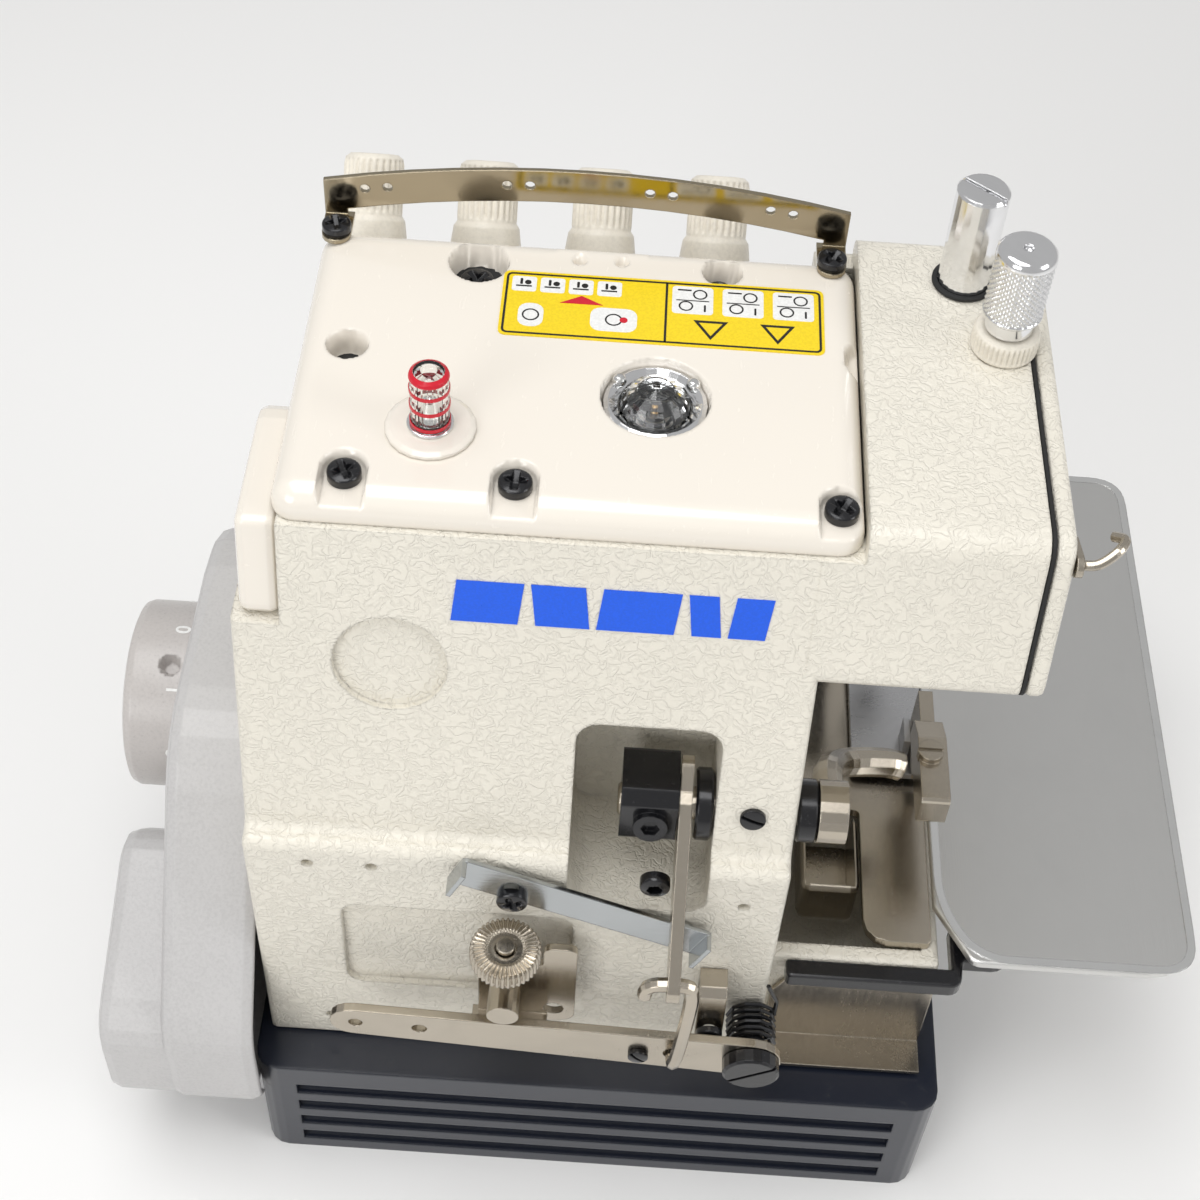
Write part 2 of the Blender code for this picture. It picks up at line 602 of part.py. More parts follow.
def tension_unit(index, knob_finish, metal):
    """A post with its pair of discs, and the ribbed knob that screws down on them."""
    at = (TENSION_X - index * TENSION_PITCH, TENSION_Y, TENSION_Z)
    axis = (0, -math.cos(SHELF_LEAN), math.sin(SHELF_LEAN))
    turned(f"tension_post_{index + 1}", ((3.0, -6), (3.0, GAP), (11.0, GAP), (11.0, 5.0), (6.0, 5.4),
                                         (6.0, 6.8),
                                         (12.2, 7.6), (12.2, 10.6), (3.0, 11.4), (3.0, 39.0)), at, metal,
                                         axis, 16)
    turned(f"tension_knob_{index + 1}", ((3.0 + RUN, 13.0), (12.2, 13.0), (10.6, 25.0), (KNOB_RADIUS, 26.5),
                                         (KNOB_RADIUS, 43.5), (KNOB_RADIUS - 2.2, 46.0), (0.8, 46.0),
                                         (3.0 + RUN, 40.5)), at, knob_finish, axis, KNOB_RIBS * 2, True,
                                         (3, 4))


def tension_bores(frame):
    axis = (0, -math.cos(SHELF_LEAN), math.sin(SHELF_LEAN))
    for index in range(TENSION_COUNT):
        at = (TENSION_X - index * TENSION_PITCH, TENSION_Y, TENSION_Z)
        cut(frame, bore(f"cut_tension_{index}", at, axis, 3.0 + GAP, -8, 5, 12))


# ------------------------------------------------------------------------------ arm end and its knobs


def needle_bar_cap(finish):
    inner = BAR_RADIUS + 1.4
    cap = turned("needle_bar_cap", ((inner, GAP), (CAP_RADIUS, GAP), (CAP_RADIUS, CAP_HEIGHT - 0.8),
                                    (CAP_RADIUS - 0.8, CAP_HEIGHT), (0.6, CAP_HEIGHT), (0.6, CAP_HEIGHT - 5),
                                    (inner, CAP_HEIGHT - 5)), (NEEDLE_X, NEEDLE_Y, TOP_Z), finish, sides=22,
                                    closed=True)
    slot = box("cut_cap_slot", (-CAP_RADIUS - 2, -0.7, CAP_HEIGHT - 2.0),
               (CAP_RADIUS + 2, 0.7, CAP_HEIGHT + 2))
    slot.rotation_euler = (0, 0, math.radians(-38))
    slot.location = point(NEEDLE_X, NEEDLE_Y, TOP_Z)
    cut(cap, slot)


def pressure_knobs(knob_finish, nut_finish):
    at = (PRESSURE_X, PRESSURE_Y, TOP_Z)
    radius = PRESSURE_RADIUS
    top = PRESSURE_RISE
    turned("pressure_knob", ((4.0, -16), (4.0, 8.0), (7.4, 8.6), (7.4, 13.0), (radius - 1.0, 13.8),
                             (radius, 14.8),
                             (radius, top - 1.6), (radius - 1.4, top), (3.0, top), (1.2, top - 1.4)),
           at, knob_finish, sides=28, ribs=(5, 6))
    turned("pressure_lock_nut", ((4.0 + RUN, GAP), (9.4, GAP), (10.0, 1.2), (10.0, 7.0), (8.8, 8.0),
                                 (4.0 + RUN, 8.0)),
           at, nut_finish, sides=24, closed=True, ribs=(2, 3))


def arm_end(gasket_finish, plate_finish):
    outline = arm_outline()
    gasket = prism("face_gasket", outline, "X", ARM_X - GAP - GASKET, ARM_X - GAP, gasket_finish)
    window = box("cut_gasket", (ARM_X - 10, ARM_FRONT_Y + WALL, ARM_Z + WALL), (ARM_X + 5, -8, TOP_Z - FLOOR))
    cut(gasket, window)
    inner = ARM_X - 2 * GAP - GASKET
    plate = prism("face_plate", outline, "X", inner - FACE_PLATE, inner, plate_finish)
    soften(plate, 1.6, 2, 60.0)
    cut(plate, bore("cut_release_hole", (inner - FACE_PLATE, RELEASE_Y, RELEASE_Z), (1, 0, 0), 2.2 + GAP, -3,
                    3.2, 12))


def release_lever(finish):
    """Finger lever on the face plate that eases the thread tension."""
    face = ARM_X - 2 * GAP - GASKET - FACE_PLATE
    at = (face, RELEASE_Y, RELEASE_Z)
    lever = prism("release_lever", link_outline((RELEASE_Y, RELEASE_Z), (RELEASE_Y + 9.0, RELEASE_Z + 4.0),
                                                4.5, 3.4),
                  "X", face - GAP - 2.0, face - GAP, finish, at)
    finger = [(face - 1.6, RELEASE_Y + 8.5, RELEASE_Z + 3.8), (face - 6.5, RELEASE_Y + 9.5, RELEASE_Z + 5.5),
              (face - 11.5, RELEASE_Y + 7.0, RELEASE_Z + 8.5), (face - 14.0, RELEASE_Y + 2.5,
                                                                RELEASE_Z + 8.5),
              (face - 11.5, RELEASE_Y - 0.5, RELEASE_Z + 6.5)]
    weld(lever, tube("add_finger", smooth_path(finger, 5), 1.5, sides=8),
         bore("add_release_pin", at, (1, 0, 0), 2.2, -1.5, 2.5, 12))


def side_cover(finish):
    """Rounded lid over the end of the arm shaft, let into the left side."""
    front = SIDE_FRONT_Y + GAP
    low = SEAT_Z - 34.0 + GAP
    high = SEAT_Z - GAP
    corners = ((front, low), (rear_y(low) - 1.5, low), (rear_y(high) - 1.5, high), (front, high))
    cover = prism("side_cover", rounded(corners, (3, 4, 3, 12)), "X", COVER_LEFT_X - 2.0 + GAP, LEFT_X - 2.5,
                  finish)
    soften(cover, 2.4, 2, 60.0)


# ------------------------------------------------------------------------------------- presser group


def presser_shaft_group(black, nickel):
    shaft_at = (0, PRESSER_Y, PRESSER_Z)
    turned("presser_shaft", ((PRESSER_RADIUS - 0.8, 20), (PRESSER_RADIUS, 20.8), (PRESSER_RADIUS, 90)),
           shaft_at, nickel, (-1, 0, 0), 20)
    block_outline = rounded(((PRESSER_Y - 11, PRESSER_Z - 9), (PRESSER_Y + 9, PRESSER_Z - 9),
                             (PRESSER_Y + 9, PRESSER_Z + 9), (PRESSER_Y + 5, PRESSER_Z + 13),
                             (PRESSER_Y - 11, PRESSER_Z + 13)), 1.5, 2)
    bolt_at = (LIFT_X + 10.5, PRESSER_Y + 9, PRESSER_Z + 1)
    block = prism("lift_clamp", block_outline, "X", LIFT_X + 2.3, LIFT_X + 20.0, black, shaft_at)
    bolt = bore("add_clamp_bolt", bolt_at, (0, 1, 0.2), 5.4, -3, 3.0, 18)
    weld(block, bolt)
    cut(block, bore("cut_clamp_bore", shaft_at, (1, 0, 0), PRESSER_RADIUS + GAP, LIFT_X - 5, LIFT_X + 30),
        bore("cut_bolt_socket", bolt_at, (0, 1, 0.2), 3.0, 1.0, 8, 6))
    end = (PRESSER_Y + LIFT_REACH_Y, PRESSER_Z - LIFT_DROP)
    arm = prism("lift_arm", link_outline((PRESSER_Y, PRESSER_Z), end, 9.0, 5.4), "X", LIFT_X - 2.0,
                LIFT_X + 2.0,
                nickel, shaft_at)
    nose = prism("add_arm_nose", link_outline((PRESSER_Y, PRESSER_Z), (PRESSER_Y - 6, PRESSER_Z + 11), 8.0,
                                              3.5),
                 "X", LIFT_X - 2.0, LIFT_X + 1.9)
    weld(arm, nose)
    cut(arm, bore("cut_arm_bore", shaft_at, (1, 0, 0), PRESSER_RADIUS + GAP, LIFT_X - 8, LIFT_X + 8),
        bore("cut_arm_eye", (0, *end), (1, 0, 0), ROD_RADIUS + 0.6, LIFT_X - 8, LIFT_X + 8, 14))


def presser_arm(finish):
    hub_x = RIGHT_X - 7.2
    path = smooth_path([(hub_x - 4.5, PRESSER_Y - 4, PRESSER_Z - 2),
                        (hub_x - 5, PRESSER_Y - 20, PRESSER_Z - 8),
                        (hub_x - 12, PRESSER_Y - 38, SHANK_Z + 12),
                        (SHANK_X + 14, PRESSER_Y - 46, SHANK_Z + 3),
                        (SHANK_X + 7, PRESSER_Y - 47, SHANK_Z)], 4)
    arm = turned("presser_arm", ((10.0, 0.0), (10.0, 9.0)), (hub_x, PRESSER_Y, PRESSER_Z), finish, (-1, 0, 0))
    weld(arm, tube("add_presser_arm", path, 5.0, sides=10))
    cut(arm, bore("cut_presser_hub", (hub_x, PRESSER_Y, PRESSER_Z), (-1, 0, 0), PRESSER_RADIUS + GAP, -4, 14))
    return arm


def presser_shank(finish):
    side = SHANK_X + 7 - GAP - 5.0
    block = prism("presser_shank", rounded(((SHANK_Y - 19, SHANK_Z - 7), (SHANK_Y + 18, SHANK_Z - 7),
                  (SHANK_Y + 18, SHANK_Z + 7), (SHANK_Y - 8, SHANK_Z + 7), (SHANK_Y - 19, SHANK_Z + 2)), 2.0,
                  3), "X",
                  SHANK_X - 8.0, side, finish, (0, PRESSER_Y, PRESSER_Z))
    leg = box("add_shank_leg", (SHANK_X - 6, SHANK_Y - 34, FOOT_TOP + 3),
              (SHANK_X - 1, SHANK_Y - 12, SHANK_Z - 1))
    head = bore("add_shank_screw", (SHANK_X - 2, SHANK_Y - 1, SHANK_Z + 7), (0, 0, 1), 4.4, -2, 2.4, 14)
    weld(block, leg, head)
    cut(block, box("cut_shank_slot", (SHANK_X - 8, SHANK_Y - 1.7, SHANK_Z + 8.2),
                   (SHANK_X + 4, SHANK_Y - 0.3, SHANK_Z + 12)),
        bore("cut_foot_pin", (SHANK_X, FOOT_PIN_Y, FOOT_PIN_Z), (1, 0, 0), 1.5 + GAP, -20, 20, 12))


def presser_foot(finish):
    """Sole with two cheeks and a pin that the shank's leg holds."""
    left = NEEDLE_X + 11.0
    right = NEEDLE_X - 15.0
    at = (SHANK_X, FOOT_PIN_Y, FOOT_PIN_Z)
    sole_outline = rounded(((right, NEEDLE_Y - 16), (left, NEEDLE_Y - 16), (left, FOOT_PIN_Y + 12),
                            (right, FOOT_PIN_Y + 12)), 3.0, 3)
    sole = prism("presser_foot", sole_outline, "Z", FOOT_TOP - 3.0, FOOT_TOP, finish, at)
    cheeks = [box(f"add_cheek_{side}", (x - 1.2, FOOT_PIN_Y - 5, FOOT_TOP - 0.3),
                  (x + 1.2, FOOT_PIN_Y + 5, FOOT_PIN_Z + 4))
              for side, x in enumerate((SHANK_X - 7.6, SHANK_X + 0.8))]
    pin = bore("add_foot_pin", at, (1, 0, 0), 1.5, -7.8, 1.6, 12)
    weld(sole, *cheeks, pin)
    cut(sole, box("cut_needle_slot", (NEEDLE_X - 3.0, NEEDLE_Y - 8, FOOT_TOP - 8),
                  (NEEDLE_X + 3.0, NEEDLE_Y + 8, FOOT_TOP + 8)))


# ------------------------------------------------------------------------------------- lift mechanism


def lever_height(x):
    return PIVOT_Z + (x - PIVOT_X) * LEVER_RISE / LEVER_REACH


def lift_lever(finish):
    pivot = (PIVOT_X, LEVER_Y, PIVOT_Z)
    front = LEVER_Y + LEVER_THICK / 2
    lever = prism("lift_lever", link_outline((PIVOT_X, PIVOT_Z), LEVER_END, 10.0, 7.5), "Y",
                  front - LEVER_THICK, front,
                  finish, pivot)
    for label, x, radius in (("pivot", PIVOT_X, 4.5 + RUN), ("rod", ROD_FOOT_X, ROD_RADIUS + 1.0),
                             ("spare", PIVOT_X + 110.0, 2.6), ("chain", LEVER_END[0] - 1.0, 2.4)):
        cut(lever, bore(f"cut_lever_{label}", (x, LEVER_Y, lever_height(x)), (0, 1, 0), radius, -10, 10, 16))


def lever_pivot(finish):
    front = LEVER_Y + LEVER_THICK / 2
    pin = turned("lever_pivot", ((4.5, LOWER_Y + GAP), (4.5, front + GAP), (9.5, front + GAP),
                                 (9.5, front + 4.6),
                                 (8.6, front + 5.2)), (PIVOT_X, 0, PIVOT_Z), finish, (0, 1, 0))
    slot = box("cut_pivot_slot", (-12, front + 4.0, -0.7), (12, front + 8, 0.7))
    slot.rotation_euler = (0, math.radians(35), 0)
    slot.location = point(PIVOT_X, 0, PIVOT_Z)
    cut(pin, slot)


def torsion_spring(finish):
    """Coils around the pivot; one leg bears on the bracket and the other lifts the lever."""
    turns = 5.5
    steps = 10
    coil_radius = 7.8
    start = LOWER_Y + 2.2
    pitch = 2.1
    path = [Vector((PIVOT_X - 4.0, start, PIVOT_Z + 19.0)), Vector((PIVOT_X - coil_radius, start,
                                                                    PIVOT_Z + 9.0))]
    for step in range(int(turns * steps) + 1):
        angle = math.pi - 2 * math.pi * step / steps
        path.append(Vector((PIVOT_X + coil_radius * math.cos(angle), start + pitch * step / steps,
                            PIVOT_Z + coil_radius * math.sin(angle))))
    end = start + pitch * turns
    path += [Vector((PIVOT_X + coil_radius, end, PIVOT_Z - 6.0)),
             Vector((PIVOT_X + coil_radius + 2, end, PIVOT_Z - 12.0))]
    tube("torsion_spring", path, 0.8, finish, (PIVOT_X, start, PIVOT_Z), 5)


def spring_bracket(finish):
    """Bent strap screwed to the wall that the spring's fixed leg leans on."""
    left = PIVOT_X + 19.0
    right = PIVOT_X + 10.0
    base = LOWER_Y + GAP
    top = PIVOT_Z + 25.0
    low = PIVOT_Z - 3.0
    strap = prism("spring_bracket", ((base, PIVOT_Z + 4), (base + 2, PIVOT_Z + 4), (base + 2, top - 3),
                                     (base + 8, top - 4),
                                     (base + 11, low), (base + 13, low), (base + 10, top - 2),
                                     (base + 7, top),
                                     (base, top)), "X", right, left, finish)
    cut(strap, bore("cut_bracket_hole", ((left + right) / 2, base + 12, PIVOT_Z + 6), (0, 1, 0), 2.2 + GAP,
                    -8, 8, 12))


def hook_rod(finish):
    """Rod whose hooked top hangs in the lift arm's eye and whose bent foot sits in the lift lever."""
    eye_y = PRESSER_Y + LIFT_REACH_Y
    eye_z = PRESSER_Z - LIFT_DROP
    foot_z = lever_height(ROD_FOOT_X)
    foot_y = LEVER_Y
    leg_x = LIFT_X - 6.0
    route = [(LIFT_X + 8.5, eye_y, eye_z - 7.0), (LIFT_X + 8.0, eye_y, eye_z - 2.5),
             (LIFT_X + 4.5, eye_y, eye_z),
             (LIFT_X - 4.0, eye_y, eye_z), (leg_x, eye_y, eye_z - 4.0), (leg_x, eye_y + 1.0, eye_z - 14.0),
             (ROD_FOOT_X - 1.0, foot_y + 7.0, foot_z + 12.0), (ROD_FOOT_X, foot_y + 6.5, foot_z + 4.0),
             (ROD_FOOT_X, foot_y + 4.0, foot_z), (ROD_FOOT_X, foot_y - 2.5, foot_z)]
    tube("hook_rod", smooth_path(route, 3), ROD_RADIUS, finish, (LIFT_X, eye_y, eye_z), 8)


def thread_hook(finish):
    """Strip with hooked ends, screwed across the lower wall, that spare thread is caught on."""
    base = LOWER_Y + 2.0
    slope = math.radians(23.5)
    length = 86.0
    half = 6.5
    screw_at = (11.0, LEDGE_Z - 10.0)
    strip = prism("thread_hook", rounded(((-length + 19, -half), (19, -half), (19, half),
                                          (-length + 19, half)), 1.5, 2), "Y",
                  base, base + 1.5, finish, (0, 0, 0))
    ends = []
    for side, x in (("left", 19.0), ("right", 19.0 - length)):
        ends.append(box(f"add_hook_{side}", (x - 1.5 if side == "left" else x, base + 0.2, 0.3 - half),
                        (x if side == "left" else x + 1.5, base + 7.0, half - 0.3)))
    tool = bore("cut_hook_hole", (0, base, 0), (0, 1, 0), 2.4 + GAP, -6, 6, 12)
    stand = bore("add_hook_stand", (0, LOWER_Y + GAP, 0), (0, 1, 0), 4.5, 0, 3, 14)
    for piece in (strip, *ends, tool, stand):
        piece.rotation_euler = (0, -slope, 0)
        piece.location += point(screw_at[0], 0, screw_at[1])
    for piece in (tool, stand):
        piece.rotation_euler = (0, 0, 0)
    weld(strip, *ends, stand)
    cut(strip, tool)


def differential_feed(nickel):
    """Knurled nut on an upright stud through a cross pin, held by a bent lever on the rear wall."""
    stud_x = 12.0
    stud_y = LOWER_Y + 12.0
    base_z = PIVOT_Z + 24.0
    pivot = (DIFF_X, LOWER_Y, DIFF_Z)
    plate_y = LOWER_Y + 6.0
    outline = rounded(((DIFF_X - 7, DIFF_Z - 7), (stud_x + 9, DIFF_Z - 12), (stud_x + 9, base_z + 9),
                       (DIFF_X + 4, base_z + 9),
                       (DIFF_X + 4, base_z + 20), (DIFF_X - 7, base_z + 20)), (5, 4, 4, 2, 3, 3))
    lever = prism("diff_lever", outline, "Y", plate_y, plate_y + 2.5, nickel, pivot)
    cut(lever, bore("cut_diff_pivot", pivot, (0, 1, 0), 3.0 + RUN, -5, 20, 14))
    pin = bore("add_cross_pin", (stud_x, plate_y + 1, base_z), (0, 1, 0), 5.2, 0, 15.5, 20)
    stud = bore("add_stud", (stud_x, stud_y, base_z), (0, 0, 1), 3.0, -22, 27, 14)
    tab = box("add_tab", (stud_x - 14, plate_y + 1, base_z - 24), (stud_x + 11, stud_y + 3.8, base_z - 21.5))
    spine = box("add_tab_root", (stud_x - 14, plate_y, base_z - 24), (stud_x + 9, plate_y + 2.5, DIFF_Z - 3))
    weld(lever, pin, stud, spine, tab)
    turned("diff_nut", ((3.0 + RUN, 19.0), (10.8, 19.0), (11.6, 20.0), (11.6, 25.0), (10.6, 26.0),
                        (3.0 + RUN, 26.0)),
           (stud_x, stud_y, base_z), nickel, sides=28, closed=True, ribs=(2, 3))



# --------------------------------------------------------------------------------- shafts and drives


def main_shaft_group(steel, iron, bronze):
    handwheel_x = LEFT_X + MOTOR_WIDTH + 3
    shaft = turned("main_shaft", ((SHAFT_RADIUS, ROD_X + 14), (SHAFT_RADIUS, handwheel_x + WHEEL_WIDTH - 3)),
                   (0, SHAFT_Y, SHAFT_Z), steel, (1, 0, 0), 24)
    web = prism("add_crank_web", link_outline((SHAFT_Y, SHAFT_Z), (CRANK_Y, SHAFT_Z), 15.0, 10.0), "X",
                ROD_X + 12, ROD_X + 22)
    pin = bore("add_crank_pin", (0, CRANK_Y, SHAFT_Z), (1, 0, 0), 4.0, ROD_X + 7.5, ROD_X + 14, 16)
    weld(shaft, web, pin)
    turned("shaft_bush", ((SHAFT_RADIUS + RUN, LEFT_X - 11), (SHAFT_RADIUS + 4, LEFT_X - 11),
                          (SHAFT_RADIUS + 4, LEFT_X - GAP),
                          (SHAFT_RADIUS + RUN, LEFT_X - GAP)), (0, SHAFT_Y, SHAFT_Z), bronze, (1, 0, 0),
                          closed=True)
    low = LEFT_X + 3
    turned("motor_stator", ((30.0, low), (43.0, low), (43.0, low + 24), (30.0, low + 24)),
           (0, SHAFT_Y, SHAFT_Z), iron,
           (1, 0, 0), 24, True)
    turned("motor_rotor", ((SHAFT_RADIUS + GAP, low), (29.4, low), (29.4, low + 24),
                           (SHAFT_RADIUS + GAP, low + 24)),
           (0, SHAFT_Y, SHAFT_Z), steel, (1, 0, 0), 28, True)


def handwheel(finish):
    low = LEFT_X + MOTOR_WIDTH + 3
    high = low + WHEEL_WIDTH
    radius = WHEEL_RADIUS
    wheel = turned("handwheel", ((SHAFT_RADIUS + GAP, low), (radius - 2, low), (radius, low + 2),
                                 (radius, high - 2),
                                 (radius - 2, high), (radius - 8, high), (radius - 9, high - 8),
                                 (13.0, high - 8),
                                 (12.0, high), (SHAFT_RADIUS + GAP, high)), (0, SHAFT_Y, SHAFT_Z), finish,
                                 (1, 0, 0), 28, True)
    for index in range(3):
        angle = math.radians(70 + 120 * index)
        out = (0, math.cos(angle), math.sin(angle))
        cut(wheel, bore(f"cut_wheel_hole_{index}", (low + 8.0, SHAFT_Y, SHAFT_Z), out, 3.4, radius - 6,
                        radius + 5, 10))


def cover_side(inset):
    """Side view of the motor cover's housing, drawn in by an inset."""
    rear = LOWER_Y + 22 - inset
    front = SHAFT_Y - 50 + inset
    low = PAN_HEIGHT - 20 + inset
    top = SHAFT_Z + 62 - inset
    corners = ((rear, low), (rear, SHAFT_Z - 24), (SHAFT_Y + 62, top), (front, top), (front, low))
    return rounded(corners, (12 - inset, 30 - inset, 40 - inset, 40 - inset, 12 - inset), 4)


def cover_bulge(inset):
    """The thicker rear foot of the motor cover, seen from the side."""
    corners = ((LOWER_Y + 22 - inset, PAN_HEIGHT - 20 + inset), (LOWER_Y + 22 - inset, SHAFT_Z - 22 - inset),
               (SHAFT_Y + 62, SHAFT_Z + 4 - inset), (SHAFT_Y + 44 + inset, SHAFT_Z - 20 - inset),
               (SHAFT_Y + 40 + inset, PAN_HEIGHT - 20 + inset))
    return rounded(corners, (12 - inset, 20 - inset, 14, 10, 10 - inset), 4)


def motor_cover(finish):
    inner = LEFT_X + GAP
    outer = LEFT_X + MOTOR_WIDTH
    wall = COVER_WALL
    cover = prism("motor_cover", cover_side(0.0), "X", inner, outer, finish)
    soften(cover, 4.5, 2, 50.0)
    bulge = prism("add_cover_bulge", cover_bulge(1.2), "X", outer - 12, outer + BULGE)
    soften(bulge, 4.5, 2, 50.0)
    ring = bore("add_cover_ring", (outer, SHAFT_Y, SHAFT_Z), (1, 0, 0), 39.0, -wall + 0.5, 2.4, 28)
    weld(cover, ring, bulge)
    cut(cover, prism("cut_motor_cover", cover_side(wall), "X", inner - 5, outer - wall),
        prism("cut_cover_bulge", cover_bulge(wall + 1.2), "X", outer - 13, outer + BULGE - wall),
        bore("cut_cover_shaft", (outer, SHAFT_Y, SHAFT_Z), (1, 0, 0), SHAFT_RADIUS + 1.5, -10, 10),
        box("cut_cover_pan", (inner - 5, COLUMN_FRONT_Y - 7 - GAP, -5),
            (LEFT_X + 4 + GAP, LOWER_Y + 15 + GAP, PAN_HEIGHT + GAP)))


def needle_rocker(steel):
    """Upper shaft that rocks: a rear arm takes the connecting rod and the front arm drives the needle bar."""
    at = (0, ROCKER_Y, ROCKER_Z)
    high = LEFT_X - 15
    shaft = turned("needle_rocker", ((5.0, NEEDLE_X + 6), (5.0, high)), at, steel, (1, 0, 0), 20)
    front = prism("add_front_arm", link_outline((ROCKER_Y, ROCKER_Z), (NEEDLE_Y + 11.6, ROCKER_Z), 9.0, 4.0),
                  "X",
                  NEEDLE_X - 3, NEEDLE_X + 8)
    rear = prism("add_rear_arm", link_outline((ROCKER_Y, ROCKER_Z), (ROD_TOP_Y, ROCKER_Z), 9.0, 6.0), "X",
                 ROD_X - 14, ROD_X - 6)
    pin = bore("add_rod_pin", (0, ROD_TOP_Y, ROCKER_Z), (1, 0, 0), 3.5, ROD_X - 8, ROD_X + 6, 16)
    weld(shaft, front, rear, pin)


def connecting_rod(steel):
    """Rod between the crank and the rocker; its big end stands beside the crank pin."""
    at = (0, ROD_TOP_Y, ROCKER_Z)
    outline = link_outline((CRANK_Y, SHAFT_Z), (ROD_TOP_Y, ROCKER_Z), 11.0, 7.5)
    rod = prism("connecting_rod", outline, "X", ROD_X - 5.5, ROD_X + 5.5, steel, at)
    for side, (a, b) in enumerate(((-8, -2.5), (2.5, 8))):
        waist = link_outline((CRANK_Y, SHAFT_Z + 22), (ROD_TOP_Y, ROCKER_Z - 18), 16.0, 14.0)
        cut(rod, prism(f"cut_rod_waist_{side}", waist, "X", ROD_X + a, ROD_X + b))
    cut(rod, bore("cut_small_end", at, (1, 0, 0), 3.5 + RUN, ROD_X - 10, ROD_X + 10, 16),
        bore("cut_big_end", (0, CRANK_Y, SHAFT_Z), (1, 0, 0), 4.0 + RUN, ROD_X - 10, ROD_X + 10, 16))


def needle_bar_group(steel, black):
    top = TOP_Z + 5.0
    clamp_top = BED_Z + 53.0
    bar = turned("needle_bar", ((BAR_RADIUS, clamp_top), (BAR_RADIUS, top)), (NEEDLE_X, NEEDLE_Y, 0), steel,
                 sides=20)
    weld(bar, turned("add_driver", ((7.0, ROCKER_Z - 2), (7.0, ROCKER_Z + 2),
                                    (BAR_RADIUS - 1, ROCKER_Z + 2.5)),
                     (NEEDLE_X, NEEDLE_Y, 0), None, sides=20))
    turned("needle_clamp", ((2.0, clamp_top - 15), (5.0, clamp_top - 13), (6.0, clamp_top - 8),
                            (6.0, clamp_top - GAP)),
           (NEEDLE_X, NEEDLE_Y, 0), black, sides=20)
    turned("needle", ((0.3, BED_Z + 4), (0.8, BED_Z + 8), (0.8, BED_Z + 30), (1.6, BED_Z + 31),
                      (1.6, clamp_top - 15 - GAP)),
           (NEEDLE_X, NEEDLE_Y, 0), steel, sides=12)


# --------------------------------------------------------------------------------- bed and stitching


def loopers(steel):
    """Two levers that swing across the stitch line below and in front of the needle."""
    for name, x, z, y, rise, tip in (("lower_looper", NEEDLE_X + 24.0, BED_FLOOR_Z + 12.0, NEEDLE_Y + 4.0,
                                      22.0, -15.0),
                                     ("upper_looper", NEEDLE_X + 26.0, BED_FLOOR_Z + 16.0, NEEDLE_Y - 13.0,
                                      18.0, -13.0)):
        pivot = (x, y, z)
        arm = prism(name, link_outline((x, z), (x - 2, z + rise), 5.0, 3.0), "Y", y - 2.5, y + 2.5, steel,
                    pivot)
        blade = tube(f"add_{name}_blade", smooth_path([(x - 2, y, z + rise), (x - 8, y, z + rise + 3.5),
                                                       (x + tip, y, z + rise + 2.0)], 4), 1.3, sides=8)
        shaft = bore(f"add_{name}_shaft", pivot, (0, 1, 0), 3.5, 0, 26 if y > NEEDLE_Y else 10, 14)
        weld(arm, blade, shaft)


def knives(steel, black):
    """The moving knife on its rocking arm, and the fixed knife under the cut."""
    edge_x = NEEDLE_X + 14.0
    at = (edge_x, KNIFE_Y, KNIFE_Z)
    arm = prism("knife_arm", link_outline((KNIFE_Y, KNIFE_Z), (NEEDLE_Y - 2, BED_Z + 24), 8.0, 5.0), "X",
                edge_x + 2.4, edge_x + 8.4, black, at)
    weld(arm, bore("add_knife_shaft", at, (1, 0, 0), 4.0, 3.0, RIGHT_X + 6 - edge_x, 16))
    prism("upper_knife", ((NEEDLE_Y - 8, BED_Z + 6.6), (NEEDLE_Y, BED_Z + 8), (NEEDLE_Y, BED_Z + 30),
                          (NEEDLE_Y - 8, BED_Z + 30)), "X", edge_x + GAP, edge_x + 2.1, steel, at)
    prism("lower_knife", ((NEEDLE_Y - 8, BED_FLOOR_Z + GAP), (NEEDLE_Y, BED_FLOOR_Z + GAP),
                          (NEEDLE_Y, BED_Z + 5.8),
                          (NEEDLE_Y - 8, BED_Z + 5.2)), "X", edge_x - 2.4, edge_x - 0.3, steel)


def throat_plate(finish):
    """Flat plate around the needle and the feed dog, with a tongue running back beside the cloth plate."""
    left = RIGHT_X - 2.0
    right = CLOTH_X + 0.6
    corners = ((right, COLUMN_FRONT_Y + 2), (NEEDLE_X + 11, COLUMN_FRONT_Y + 2),
               (NEEDLE_X + 11, NEEDLE_Y + 9),
               (left - 3, NEEDLE_Y + 9), (left - 3, -36.0), (RIGHT_X - 32, -36.0),
               (RIGHT_X - 32, BED_REAR_Y - 6.5),
               (right, BED_REAR_Y - 6.5))
    plate = prism("throat_plate", rounded(corners, (2, 2, 0, 3, 3, 2, 8, 2), 3), "Z", BED_Z + GAP,
                  BED_Z + 4.0, finish)
    cut(plate, box("cut_needle_gate", (NEEDLE_X - 2.5, NEEDLE_Y - 7, BED_Z - 5),
                   (NEEDLE_X + 2.5, NEEDLE_Y + 5, BED_Z + 10)))
    for side, x in enumerate((NEEDLE_X - 7.0, NEEDLE_X + 6.0)):
        slot = rectangle(x - 3.4, NEEDLE_Y + 7, x + 3.4, NEEDLE_Y + 47)
        cut(plate, prism(f"cut_feed_slot_{side}", slot, "Z", BED_Z - 5, BED_Z + 10))
    return plate


